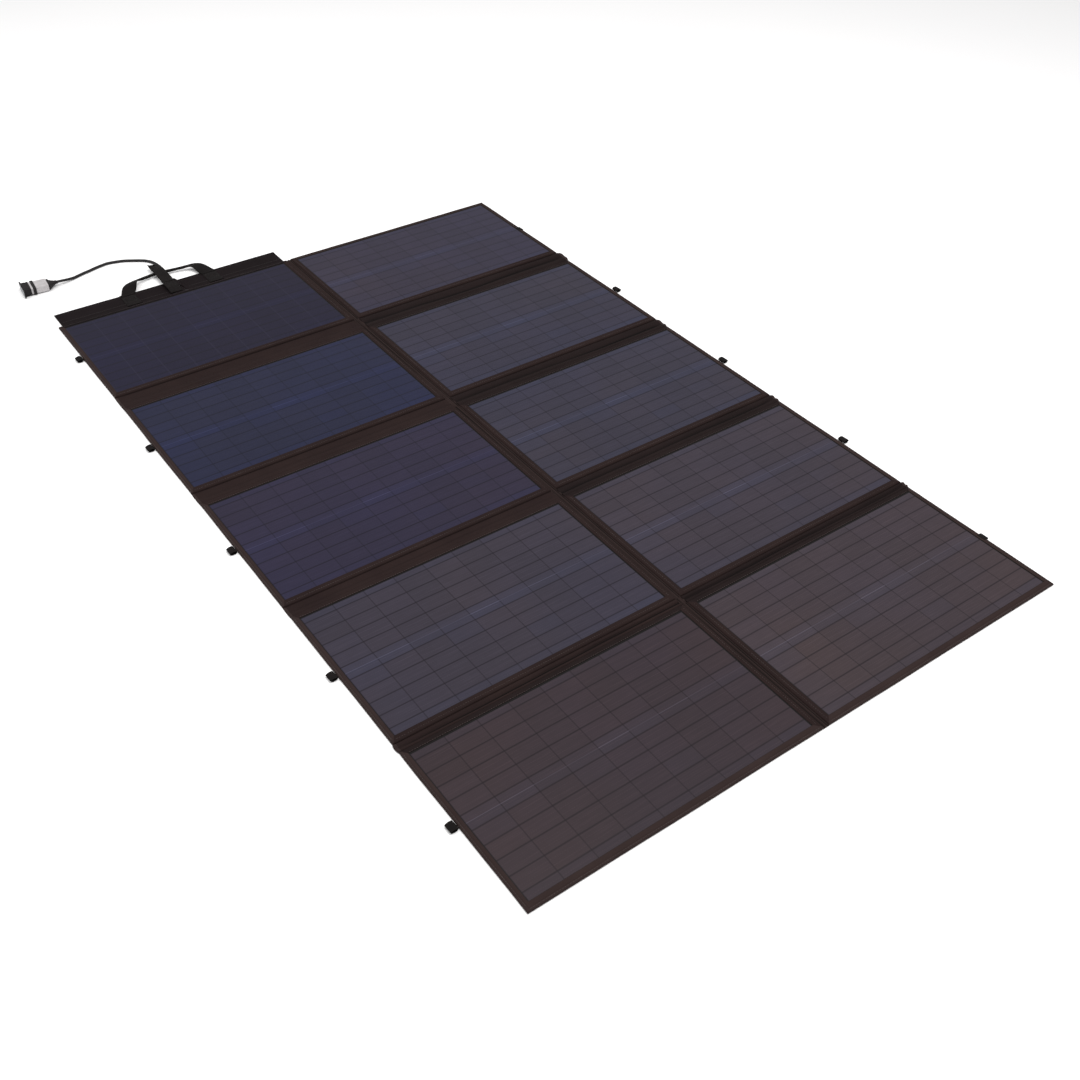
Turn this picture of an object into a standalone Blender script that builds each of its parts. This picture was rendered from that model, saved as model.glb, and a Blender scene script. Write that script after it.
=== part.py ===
"""Folding solar blanket: two columns of five rigid solar panels sewn into canvas, laid open.

X runs from the left column (L) to the right column (R), Y from row 5 to row 1 and on to the
carry handle, Z up from the ground. The right column folds over the left one, then the rows roll
up from row 5 on to row 1. The output lead comes out of panel L1's far edge.
"""
import math

import bmesh
import bpy
from mathutils import Matrix, Vector

# Driving dimensions, in metres.
ROWS = 5
CELL_AREA_X = 0.5500          # nine cells side by side
CELL_AREA_Y = 0.3145          # two rows of 156.75 mm cells with a 1 mm gap
CENTRE_BORDER = 0.01925       # from the cells to the fold between the columns
OUTER_BORDER = 0.0120
ROW_BORDERS = (0.0160, 0.0160, 0.0152, 0.0144, 0.0136)
FAR_BORDER = 0.0130           # row 1's far edge
NEAR_BORDER = 0.0148          # row 5's near edge
LAST_SPINE = 0.0170           # fold strip between rows 4 and 5
SPINE_STEP = 0.0100           # each strip nearer row 1 goes round one more folded row

PANEL_THICKNESS = 0.0040
FLOOR_THICKNESS = 0.0008      # canvas under the stiffening board
CLOTH_THICKNESS = 0.0012      # fold strips, hem and flap
POCKET_MARGIN = 0.0033        # from the cells to the canvas frame's inner edge
LAMINATE_MARGIN = 0.0030      # from the cells to the laminate's edge
BOARD_LEVELS = (0.0011, 0.0024)
LAMINATE_LEVELS = (0.0027, 0.0037)
GAP = 0.0003                  # between pieces that touch
COLUMN_FOLD_HEIGHT = 0.0047   # half of a folded pair of panels
THIN_STRIP = 0.00425          # the canvas beside the column fold is thin
CREASE_HEIGHT = CLOTH_THICKNESS

HEM_DEPTH = 0.0130
HEM_X = (-0.5710, -0.0120)
FLAP_DEPTH = 0.0470
TUNNEL_FOOT = (-0.2990, -0.2710)   # the flap's bulge over the lead, inside
TUNNEL_ROOF = (-0.2940, -0.2760)
TUNNEL_HEIGHT = 0.0067
SLOT_X = (-0.3020, -0.2680)        # cut in the flap beside its hinge, for the lead
SLOT_DEPTH = 0.0080
NOTCH_X = (-0.3050, -0.2650)       # canvas left low for the junction block
BLOCK_LEVELS = (0.0011, 0.0037)

HANDLE_CENTRE = -0.2940
HANDLE_OUTER = (0.1220, 0.0520)    # half width and reach of the outer edge
HANDLE_INNER = (0.0860, 0.0360)
HANDLE_SQUARENESS = 0.45           # exponent: 1 is an ellipse, towards 0 a rectangle
HANDLE_LEVELS = (0.0015, 0.0069)   # underside at the feet and at the bar
HANDLE_THICKNESS = 0.0016
HANDLE_START = 0.0613              # from panel L1's far edge
STRAP_X = (-0.3080, -0.2770)
STRAP_THICKNESS = 0.0014
STRAP_END = 0.1530
STRAP_STATIONS = ((0.0613, 0.0082), (0.0830, 0.0112), (0.1230, 0.0112), (0.1400, 0.0092),
                  (STRAP_END, 0.0080))   # distance past the far edge, underside height

LOOP_REACH = 0.0150
LOOP_HEIGHT = 0.0080
LOOP_WALL = 0.0012
LOOP_WIDTH = 0.0250
LOOP_OFFSET = 0.0130          # left loops sit far of the middle, right ones near of it
LOOP_ARC_STEPS = 6

CABLE_RADIUS = 0.0030
CABLE_POINTS = 78
CABLE_REST_HEIGHT = 0.0033
CABLE_RISE_START = 0.0600     # how far before its end the lead starts to rise
# The lead's route over the ground: x, then distance past panel L1's far edge.
CABLE_ROUTE = ((-0.2850, 0.0003), (-0.2850, 0.0330), (-0.2840, 0.0730), (-0.2810, 0.1070),
               (-0.2790, 0.1290), (-0.2790, 0.1480), (-0.2820, 0.1660), (-0.2870, 0.1800),
               (-0.2960, 0.1920), (-0.3090, 0.2020), (-0.3220, 0.2100), (-0.3350, 0.2180),
               (-0.3500, 0.2240), (-0.3760, 0.2300), (-0.3920, 0.2280), (-0.4100, 0.2240),
               (-0.4270, 0.2185), (-0.4430, 0.2145), (-0.4580, 0.2095), (-0.4730, 0.2040),
               (-0.4870, 0.1995), (-0.4990, 0.1965), (-0.5100, 0.1950), (-0.5190, 0.1944))

CONNECTOR_REAR = (-0.5380, 0.1950)     # x and distance past the far edge, at the cable end
CONNECTOR_HEIGHT = 0.0100
CONNECTOR_TURN = math.radians(175.0)   # from +X to the mating direction
HOUSING_SIZE = (0.0480, 0.0370, 0.0160)
COLLAR_SIZE = (0.0040, 0.0340, 0.0130)
BOOT_TIP = (0.0100, 0.0080)            # width and height where the lead enters
BOOT_STEPS = 5
WELL_DEPTH = 0.0260
WELL_CENTRE = 0.0085                   # from the middle of the housing
WELL_SIZE = (0.0120, 0.0100)
CONTACT_SIZE = (0.0217, 0.0080, 0.0020)
CONTACT_DROP = 0.0025                  # blade centre under the well's centre
BAND_RANGE = (0.0290, 0.0360)          # along the housing from its cable end
BAND_SIZE = (0.0420, 0.0190)
COVER_RANGE = (0.0405, 0.0590)
COVER_FLANGE = (0.0030, 0.0560, 0.0196)
COVER_SIZE = (0.0406, 0.0186)
COVER_CAVITY_END = 0.0560
FIT = 0.0003                           # cover and band over the housing
CORNER_STEPS = 3


def spine_width(row):
    """Width of the fold strip between this row and the next one (rows count from 1)."""
    return LAST_SPINE + SPINE_STEP * (ROWS - 1 - row)


def far_edge_position():
    """Y of panel L1's far edge, which puts the origin halfway between row 5's edge and the strap."""
    cells = ROWS * CELL_AREA_Y
    borders = FAR_BORDER + NEAR_BORDER + 2.0 * sum(ROW_BORDERS) - ROW_BORDERS[0] - ROW_BORDERS[-1]
    spines = sum(spine_width(row) for row in range(1, ROWS))
    return (cells + borders + spines + STRAP_END) / 2.0 - STRAP_END


FAR_EDGE = far_edge_position()


def row_edges():
    """For each row, (near edge, near cells, far cells, far edge) along Y."""
    rows = []
    far = FAR_EDGE
    for row in range(1, ROWS + 1):
        far_border = FAR_BORDER if row == 1 else ROW_BORDERS[row - 1]
        near_border = NEAR_BORDER if row == ROWS else ROW_BORDERS[row - 1]
        cells_far = far - far_border
        cells_near = cells_far - CELL_AREA_Y
        near = cells_near - near_border
        rows.append((near, cells_near, cells_far, far))
        if row < ROWS:
            far = near - spine_width(row)
    return rows


ROW_EDGES = row_edges()
OUTER_X = CENTRE_BORDER + CELL_AREA_X + OUTER_BORDER


def clear_scene():
    """Empties the scene of its objects."""
    for item in list(bpy.context.scene.objects):
        bpy.data.objects.remove(item, do_unlink=True)


def make_material(name, colour, roughness, metallic=0.0):
    """A Principled material of one colour."""
    material = bpy.data.materials.new(name)
    material.use_nodes = True
    shader = material.node_tree.nodes["Principled BSDF"]
    shader.inputs["Base Color"].default_value = (*colour, 1.0)
    shader.inputs["Roughness"].default_value = roughness
    shader.inputs["Metallic"].default_value = metallic
    material.diffuse_color = (*colour, 1.0)
    return material


def make_pivot(name, position, parent=None):
    """An empty on a joint's axis, which the moving pieces hang on."""
    pivot = bpy.data.objects.new(name, None)
    pivot.empty_display_size = 0.02
    bpy.context.collection.objects.link(pivot)
    pivot["world"] = position
    if parent is None:
        pivot.location = position
    else:
        pivot.parent = parent
        pivot.location = Vector(position) - Vector(parent["world"])
    return pivot


def add_piece(name, bm, material, pivot=None, smooth=False):
    """Turns a bmesh in world coordinates into a named object, hung on its pivot."""
    bmesh.ops.recalc_face_normals(bm, faces=bm.faces)
    mesh = bpy.data.meshes.new(name)
    bm.to_mesh(mesh)
    bm.free()
    if smooth:
        mesh.shade_smooth()
        mesh.set_sharp_from_angle(angle=math.radians(35.0))
    mesh.materials.append(material)
    piece = bpy.data.objects.new(name, mesh)
    bpy.context.collection.objects.link(piece)
    if pivot is not None:
        mesh.transform(Matrix.Translation(-Vector(pivot["world"])))
        piece.parent = pivot
    return piece


def box(low, high):
    """A box between two corners."""
    bm = bmesh.new()
    bmesh.ops.create_cube(bm, size=1.0)
    size = Vector(high) - Vector(low)
    centre = (Vector(high) + Vector(low)) / 2.0
    for vertex in bm.verts:
        vertex.co = centre + Vector(vertex.co[i] * size[i] for i in range(3))
    return bm


def raise_faces(bm, faces, rise):
    """Extrudes a region of faces upwards and gives back its new top faces."""
    edges = {edge for face in faces for edge in face.edges}
    verts = {vertex for face in faces for vertex in face.verts}
    region = sorted(verts, key=lambda v: v.index) + sorted(edges, key=lambda e: e.index)
    result = bmesh.ops.extrude_face_region(bm, geom=[*region, *faces])
    top = [item for item in result["geom"] if isinstance(item, bmesh.types.BMFace)]
    corners = {vertex for face in top for vertex in face.verts}
    bmesh.ops.translate(bm, verts=list(corners), vec=(0.0, 0.0, rise))
    return top


def stepped_plate(x_lines, y_lines, height_at):
    """A plate on the ground with a height for each cell of a grid; 0 leaves the cell out."""
    bm = bmesh.new()
    level_of = bm.faces.layers.int.new("level")
    grid = [[bm.verts.new((x, y, 0.0)) for x in x_lines] for y in y_lines]
    heights = {}
    for j in range(len(y_lines) - 1):
        for i in range(len(x_lines) - 1):
            middle_x = (x_lines[i] + x_lines[i + 1]) / 2.0
            middle_y = (y_lines[j] + y_lines[j + 1]) / 2.0
            height = height_at(middle_x, middle_y)
            if height > 0.0:
                corners = (grid[j][i], grid[j][i + 1], grid[j + 1][i + 1], grid[j + 1][i])
                heights[bm.faces.new(corners)] = height
    levels = sorted(set(heights.values()))
    for face, height in heights.items():
        face[level_of] = levels.index(height) + 1
    loose = [vertex for vertex in bm.verts if not vertex.link_faces]
    bmesh.ops.delete(bm, geom=loose, context="VERTS")
    top = list(bm.faces)
    below = 0.0
    for number, level in enumerate(levels, start=1):
        bm.verts.index_update()
        bm.edges.index_update()
        region = [face for face in top if face[level_of] >= number]
        top = raise_faces(bm, region, level - below)
        below = level
    return bm


def extrude_outline(points, y_low, y_high):
    """A solid from an outline in X and Z, extruded along Y."""
    bm = bmesh.new()
    face = bm.faces.new([bm.verts.new((x, y_low, z)) for x, z in points])
    result = bmesh.ops.extrude_face_region(bm, geom=[face])
    moved = [item for item in result["geom"] if isinstance(item, bmesh.types.BMVert)]
    bmesh.ops.translate(bm, verts=moved, vec=(0.0, y_high - y_low, 0.0))
    return bm


def ribbon(left, right, thickness):
    """A flat tape between two edge lines of its underside."""
    bm = bmesh.new()
    rise = Vector((0.0, 0.0, thickness))
    rings = []
    for a, b in zip(left, right):
        corners = (Vector(a), Vector(b), Vector(b) + rise, Vector(a) + rise)
        rings.append([bm.verts.new(corner) for corner in corners])
    for first, second in zip(rings, rings[1:]):
        for i in range(4):
            j = (i + 1) % 4
            bm.faces.new((first[i], first[j], second[j], second[i]))
    bm.faces.new(rings[0])
    bm.faces.new(rings[-1])
    return bm


def rounded_section(centre, forward, width, height, radius):
    """Corner points of an upright rounded rectangle square to a horizontal direction."""
    up = Vector((0.0, 0.0, 1.0))
    side = up.cross(forward).normalized()
    points = []
    corner_signs = ((1, 1), (-1, 1), (-1, -1), (1, -1))
    for quarter, (side_sign, up_sign) in enumerate(corner_signs):
        corner = (centre + side * side_sign * (width / 2.0 - radius)
                  + up * up_sign * (height / 2.0 - radius))
        for step in range(CORNER_STEPS + 1):
            angle = math.radians(90.0) * (quarter + step / CORNER_STEPS)
            points.append(corner + side * radius * math.cos(angle) + up * radius * math.sin(angle))
    return points


def loft(sections, closed=False):
    """A solid through a row of sections; closed joins the last one to the first."""
    bm = bmesh.new()
    rings = [[bm.verts.new(point) for point in section] for section in sections]
    pairs = list(zip(rings, rings[1:]))
    if closed:
        pairs.append((rings[-1], rings[0]))
    for first, second in pairs:
        for i in range(len(first)):
            j = (i + 1) % len(first)
            bm.faces.new((first[i], first[j], second[j], second[i]))
    if not closed:
        bm.faces.new(rings[0])
        bm.faces.new(rings[-1])
    return bm


def cell_range(column):
    """Low and high X of a column's cells."""
    inner = CENTRE_BORDER
    outer = CENTRE_BORDER + CELL_AREA_X
    return (-outer, -inner) if column == "L" else (inner, outer)


def canvas_panel(column, row):
    """Canvas tray of one panel: floor, raised frame and the thin strip at the column fold."""
    near, cells_near, cells_far, far = ROW_EDGES[row - 1]
    low = near if row == ROWS else near + GAP / 2.0
    high = far if row == 1 else far - GAP / 2.0
    sign = -1.0 if column == "L" else 1.0
    pocket = (CENTRE_BORDER - POCKET_MARGIN, OUTER_X - OUTER_BORDER + POCKET_MARGIN)
    x_values = [GAP / 2.0, THIN_STRIP, pocket[0], pocket[1], OUTER_X]
    y_lines = [low, cells_near - POCKET_MARGIN, cells_far + POCKET_MARGIN, high]
    has_lead = column == "L" and row == 1
    if has_lead:
        x_values += [-HEM_X[0], -HEM_X[1], -NOTCH_X[0], -NOTCH_X[1]]
        y_lines.append(FAR_EDGE + HEM_DEPTH)
    x_lines = sorted(sign * value for value in x_values)

    def height_at(x, y):
        across = abs(x)
        at_notch = has_lead and NOTCH_X[0] < x < NOTCH_X[1]
        if y > high:
            return CLOTH_THICKNESS if HEM_X[0] < x < HEM_X[1] and not at_notch else 0.0
        if pocket[0] < across < pocket[1] and y_lines[1] < y < y_lines[2]:
            return FLOOR_THICKNESS
        if at_notch and y > y_lines[2]:
            return FLOOR_THICKNESS
        return CLOTH_THICKNESS if across < THIN_STRIP else PANEL_THICKNESS

    return stepped_plate(x_lines, y_lines, height_at)


def panel_layer(column, row, levels):
    """A flat sheet the size of the cells and their margin."""
    _, cells_near, cells_far, _ = ROW_EDGES[row - 1]
    x_low, x_high = cell_range(column)
    low = (x_low - LAMINATE_MARGIN, cells_near - LAMINATE_MARGIN, levels[0])
    high = (x_high + LAMINATE_MARGIN, cells_far + LAMINATE_MARGIN, levels[1])
    return box(low, high)


def fold_strip(column, row):
    """The canvas strip between this row and the next one."""
    y_high = ROW_EDGES[row - 1][0] - GAP / 2.0
    y_low = ROW_EDGES[row][3] + GAP / 2.0
    x_low, x_high = (-OUTER_X, -GAP / 2.0) if column == "L" else (GAP / 2.0, OUTER_X)
    return box((x_low, y_low, 0.0), (x_high, y_high, CLOTH_THICKNESS))


def tie_loop(column, row):
    """A closed loop of webbing on a panel's outer edge."""
    near, _, _, far = ROW_EDGES[row - 1]
    sign = -1.0 if column == "L" else 1.0
    middle_y = (near + far) / 2.0 - sign * LOOP_OFFSET
    centre_x = sign * (OUTER_X + GAP + LOOP_REACH / 2.0)
    centre_z = LOOP_HEIGHT / 2.0
    half_flat = LOOP_REACH / 2.0 - LOOP_HEIGHT / 2.0
    bm = bmesh.new()
    rings = []
    for radius in (LOOP_HEIGHT / 2.0, LOOP_HEIGHT / 2.0 - LOOP_WALL):
        ring = []
        for side, start in ((1.0, -90.0), (-1.0, 90.0)):
            for step in range(LOOP_ARC_STEPS + 1):
                angle = math.radians(start + 180.0 * step / LOOP_ARC_STEPS)
                x = centre_x + side * half_flat + radius * math.cos(angle)
                z = centre_z + radius * math.sin(angle)
                ring.append(bm.verts.new((x, middle_y - LOOP_WIDTH / 2.0, z)))
        rings.append(ring)
    faces = []
    count = len(rings[0])
    for i in range(count):
        j = (i + 1) % count
        faces.append(bm.faces.new((rings[0][i], rings[0][j], rings[1][j], rings[1][i])))
    result = bmesh.ops.extrude_face_region(bm, geom=faces)
    moved = [item for item in result["geom"] if isinstance(item, bmesh.types.BMVert)]
    bmesh.ops.translate(bm, verts=moved, vec=(0.0, LOOP_WIDTH, 0.0))
    return bm


def closing_flap():
    """Canvas flap past the hem, bulged over the lead."""
    top = TUNNEL_HEIGHT + CLOTH_THICKNESS
    lap = CLOTH_THICKNESS * 0.8
    outline = [(HEM_X[0], 0.0), (TUNNEL_FOOT[0], 0.0), (TUNNEL_ROOF[0], TUNNEL_HEIGHT),
               (TUNNEL_ROOF[1], TUNNEL_HEIGHT), (TUNNEL_FOOT[1], 0.0), (HEM_X[1], 0.0),
               (HEM_X[1], CLOTH_THICKNESS), (TUNNEL_FOOT[1] + lap, CLOTH_THICKNESS),
               (TUNNEL_ROOF[1] + lap, top), (TUNNEL_ROOF[0] - lap, top),
               (TUNNEL_FOOT[0] - lap, CLOTH_THICKNESS), (HEM_X[0], CLOTH_THICKNESS)]
    start = FAR_EDGE + HEM_DEPTH + GAP
    return extrude_outline(outline, start, start + FLAP_DEPTH)


def lead_slot():
    """The shape cut out of the flap, so that it folds up past the lead."""
    start = FAR_EDGE + HEM_DEPTH
    return box((SLOT_X[0], start - 0.005, -0.005), (SLOT_X[1], start + GAP + SLOT_DEPTH, 0.020))


def carry_handle():
    """A U of webbing: wide at its sewn feet, folded narrow at the bar."""
    steps = 28
    start = FAR_EDGE + HANDLE_START
    edges = []
    for half_width, reach in (HANDLE_OUTER, HANDLE_INNER):
        edge = []
        for step in range(steps + 1):
            angle = math.pi * step / steps
            cosine = math.cos(angle)
            across = math.copysign(abs(cosine) ** HANDLE_SQUARENESS, cosine)
            along = abs(math.sin(angle)) ** HANDLE_SQUARENESS if 0 < step < steps else 0.0
            blend = along * along * (3.0 - 2.0 * along)
            z = HANDLE_LEVELS[0] + (HANDLE_LEVELS[1] - HANDLE_LEVELS[0]) * blend
            edge.append((HANDLE_CENTRE + half_width * across, start + reach * along, z))
        edges.append(edge)
    return ribbon(edges[0], edges[1], HANDLE_THICKNESS)


def closing_strap():
    """The strap that lies over the handle's bar."""
    left = [(STRAP_X[0], FAR_EDGE + past, z) for past, z in STRAP_STATIONS]
    right = [(STRAP_X[1], FAR_EDGE + past, z) for past, z in STRAP_STATIONS]
    return ribbon(left, right, STRAP_THICKNESS)


def junction_block():
    """Potted block in the frame where the lead leaves."""
    y_low = ROW_EDGES[0][2] + POCKET_MARGIN + GAP
    low = (NOTCH_X[0] + 0.001, y_low, BLOCK_LEVELS[0])
    high = (NOTCH_X[1] - 0.001, FAR_EDGE - GAP, BLOCK_LEVELS[1])
    return box(low, high)


def catmull_rom(p0, p1, p2, p3, t):
    """A point between p1 and p2 on a smooth curve through all four."""
    return 0.5 * (2.0 * p1 + (p2 - p0) * t + (2.0 * p0 - 5.0 * p1 + 4.0 * p2 - p3) * t * t
                  + (3.0 * p1 - p0 - 3.0 * p2 + p3) * t ** 3)


def smooth_route(route, count):
    """Evenly spaced points on the smooth curve through a route."""
    points = [Vector((x, FAR_EDGE + past, 0.0)) for x, past in route]
    padded = [2.0 * points[0] - points[1], *points, 2.0 * points[-1] - points[-2]]
    fine = []
    for i in range(len(points) - 1):
        for step in range(16):
            fine.append(catmull_rom(*padded[i:i + 4], step / 16.0))
    fine.append(points[-1])
    lengths = [0.0]
    for a, b in zip(fine, fine[1:]):
        lengths.append(lengths[-1] + (b - a).length)
    even = []
    index = 0
    for step in range(count):
        wanted = lengths[-1] * step / (count - 1)
        while index < len(lengths) - 2 and lengths[index + 1] < wanted:
            index += 1
        span = lengths[index + 1] - lengths[index]
        even.append(fine[index].lerp(fine[index + 1], (wanted - lengths[index]) / span))
    return even, lengths[-1]


def add_cable(material):
    """The output lead: a tube along its route, rising to the connector at its end."""
    points, length = smooth_route(CABLE_ROUTE, CABLE_POINTS)
    curve = bpy.data.curves.new("cable", "CURVE")
    curve.dimensions = "3D"
    curve.bevel_depth = CABLE_RADIUS
    curve.bevel_resolution = 2
    curve.use_fill_caps = True
    curve.resolution_u = 1
    curve.render_resolution_u = 0
    spline = curve.splines.new("POLY")
    spline.points.add(len(points) - 1)
    for index, point in enumerate(points):
        before_end = length * (1.0 - index / (len(points) - 1))
        rise = max(0.0, 1.0 - before_end / CABLE_RISE_START)
        blend = rise * rise * (3.0 - 2.0 * rise)
        z = CABLE_REST_HEIGHT + (CONNECTOR_HEIGHT - CABLE_REST_HEIGHT) * blend
        spline.points[index].co = (point.x, point.y, z, 1.0)
    curve.materials.append(material)
    cable = bpy.data.objects.new("cable", curve)
    bpy.context.collection.objects.link(cable)
    return cable


def connector_axis():
    """Unit vector from the connector's cable end to its mating face."""
    return Vector((math.cos(CONNECTOR_TURN), math.sin(CONNECTOR_TURN), 0.0))


def connector_point(along, across=0.0, up=0.0):
    """A point measured from the centre of the housing's cable end."""
    axis = connector_axis()
    side = Vector((-axis.y, axis.x, 0.0))
    origin = Vector((CONNECTOR_REAR[0], FAR_EDGE + CONNECTOR_REAR[1], CONNECTOR_HEIGHT))
    return origin + axis * along + side * across + Vector((0.0, 0.0, up))


def connector_sections(profile):
    """Sections of a piece on the connector, from (along, width, height, corner radius)."""
    axis = connector_axis()
    return [rounded_section(connector_point(along), axis, width, height, radius)
            for along, width, height, radius in profile]


def connector_block(along, across, up, size):
    """A box square to the connector; along is its rear end, across and up its centre."""
    bm = box((0.0, -size[1] / 2.0, -size[2] / 2.0), (size[0], size[1] / 2.0, size[2] / 2.0))
    place = Matrix.Translation(connector_point(along, across, up))
    bmesh.ops.transform(bm, matrix=place @ Matrix.Rotation(CONNECTOR_TURN, 4, "Z"), verts=bm.verts)
    return bm


def add_cutter(name, bm, target):
    """Cuts a shape out of a piece."""
    mesh = bpy.data.meshes.new(name)
    bmesh.ops.recalc_face_normals(bm, faces=bm.faces)
    bm.to_mesh(mesh)
    bm.free()
    cutter = bpy.data.objects.new(name, mesh)
    bpy.context.collection.objects.link(cutter)
    cutter.hide_render = True
    cutter.display_type = "WIRE"
    modifier = target.modifiers.new(name, "BOOLEAN")
    modifier.operation = "DIFFERENCE"
    modifier.solver = "EXACT"
    modifier.object = cutter


def add_housing(material):
    """Two-pole connector housing with a contact well on each side."""
    length, width, height = HOUSING_SIZE
    ease = 0.0006
    profile = ((0.0, width - 2 * ease, height - 2 * ease, 0.0014), (ease, width, height, 0.0020),
               (length - ease, width, height, 0.0020),
               (length, width - 2 * ease, height - 2 * ease, 0.0014))
    housing = add_piece("connector_housing", loft(connector_sections(profile)), material)
    for name, side in (("pos", 1.0), ("neg", -1.0)):
        size = (WELL_DEPTH + 0.005, *WELL_SIZE)
        well = connector_block(length - WELL_DEPTH, side * WELL_CENTRE, 0.0, size)
        add_cutter(f"well_{name}", well, housing)


def contact_blade(side):
    """Flat contact in the lower half of its well."""
    start = HOUSING_SIZE[0] - WELL_DEPTH + GAP
    return connector_block(start, side * WELL_CENTRE, -CONTACT_DROP, CONTACT_SIZE)


def cover_band():
    """Rubber band round the housing that holds the dust cover's tether."""
    inner = (HOUSING_SIZE[1] + 2 * FIT, HOUSING_SIZE[2] + 2 * FIT)
    start, end = BAND_RANGE
    profile = ((start, *BAND_SIZE, 0.0030), (end, *BAND_SIZE, 0.0030), (end, *inner, 0.0021),
               (start, *inner, 0.0021))
    return loft(connector_sections(profile), closed=True)


def dust_cover():
    """Cup that pulls off the housing's mating end, with a wide plate across its front."""
    start, end = COVER_RANGE
    inner = (HOUSING_SIZE[1] + 2 * FIT, HOUSING_SIZE[2] + 2 * FIT)
    flange_depth, flange_width, flange_height = COVER_FLANGE
    ease = 0.0010
    plate = end - flange_depth
    profile = ((COVER_CAVITY_END - 0.0005, *inner, 0.0021), (start, *inner, 0.0021),
               (start, *COVER_SIZE, 0.0030), (plate, *COVER_SIZE, 0.0030),
               (plate, flange_width, flange_height, 0.0040),
               (end - ease, flange_width, flange_height, 0.0040),
               (end, flange_width - 2 * ease, flange_height - 2 * ease, 0.0030))
    return loft(connector_sections(profile))


def cable_boot():
    """Collar at the housing, then a taper that bends to meet the lead."""
    collar_length, collar_width, collar_height = COLLAR_SIZE
    start = connector_point(-GAP)
    route, _ = smooth_route(CABLE_ROUTE, CABLE_POINTS)
    inward = (route[-1] - route[-2]).normalized()
    tip = Vector((route[-1].x, route[-1].y, CONNECTOR_HEIGHT)) + inward * 2.0 * GAP
    axis = connector_axis()
    sections = [rounded_section(start, axis, collar_width, collar_height, 0.0030)]
    shoulder = start - axis * collar_length
    sections.append(rounded_section(shoulder, axis, collar_width, collar_height, 0.0030))
    leaving = shoulder - axis * 0.0045
    arriving = tip + inward * 0.0045
    for step in range(1, BOOT_STEPS + 1):
        t = step / BOOT_STEPS
        first = shoulder.lerp(leaving, t)
        second = leaving.lerp(arriving, t)
        third = arriving.lerp(tip, t)
        centre = first.lerp(second, t).lerp(second.lerp(third, t), t)
        tangent = (second.lerp(third, t) - first.lerp(second, t)).normalized()
        narrow = 1.0 - (1.0 - t) ** 2
        width = collar_width + (BOOT_TIP[0] - collar_width) * narrow
        height = collar_height + (BOOT_TIP[1] - collar_height) * t
        radius = 0.0030 + 0.0008 * t
        sections.append(rounded_section(centre, -tangent, width, height, radius))
    return loft(sections)


def make_pivots():
    """One empty on each joint's axis, in the order in which the pieces hang on each other."""
    pivots = {"L1": None}
    for row in range(1, ROWS + 1):
        middle_y = (ROW_EDGES[row - 1][0] + ROW_EDGES[row - 1][3]) / 2.0
        fold = (0.0, middle_y, COLUMN_FOLD_HEIGHT)
        pivots[f"R{row}"] = make_pivot(f"pivot_R{row}", fold, pivots[f"L{row}"])
        if row == ROWS:
            break
        near = ROW_EDGES[row - 1][0]
        far = ROW_EDGES[row][3]
        strip = make_pivot(f"pivot_gap_L{row}", (-OUTER_X / 2.0, near, CREASE_HEIGHT),
                           pivots[f"L{row}"])
        pivots[f"gap_L{row}"] = strip
        pivots[f"gap_R{row}"] = make_pivot(f"pivot_gap_R{row}",
                                           (0.0, (near + far) / 2.0, COLUMN_FOLD_HEIGHT), strip)
        pivots[f"L{row + 1}"] = make_pivot(f"pivot_L{row + 1}", (-OUTER_X / 2.0, far, CREASE_HEIGHT),
                                           strip)
    flap_y = FAR_EDGE + HEM_DEPTH + GAP / 2.0
    pivots["flap"] = make_pivot("pivot_flap", (sum(HEM_X) / 2.0, flap_y, CREASE_HEIGHT))
    swing_y = FAR_EDGE + HANDLE_START - 0.0007
    pivots["handle"] = make_pivot("pivot_handle", (HANDLE_CENTRE, swing_y, CREASE_HEIGHT),
                                  pivots["flap"])
    strap_y = FAR_EDGE + HANDLE_START - 0.0005
    strap_height = STRAP_STATIONS[0][1] - GAP / 2.0
    pivots["strap"] = make_pivot("pivot_strap", (sum(STRAP_X) / 2.0, strap_y, strap_height),
                                 pivots["flap"])
    pivots["dust_cover"] = make_pivot("pivot_dust_cover", connector_point(COVER_RANGE[0]))
    return pivots


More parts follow.
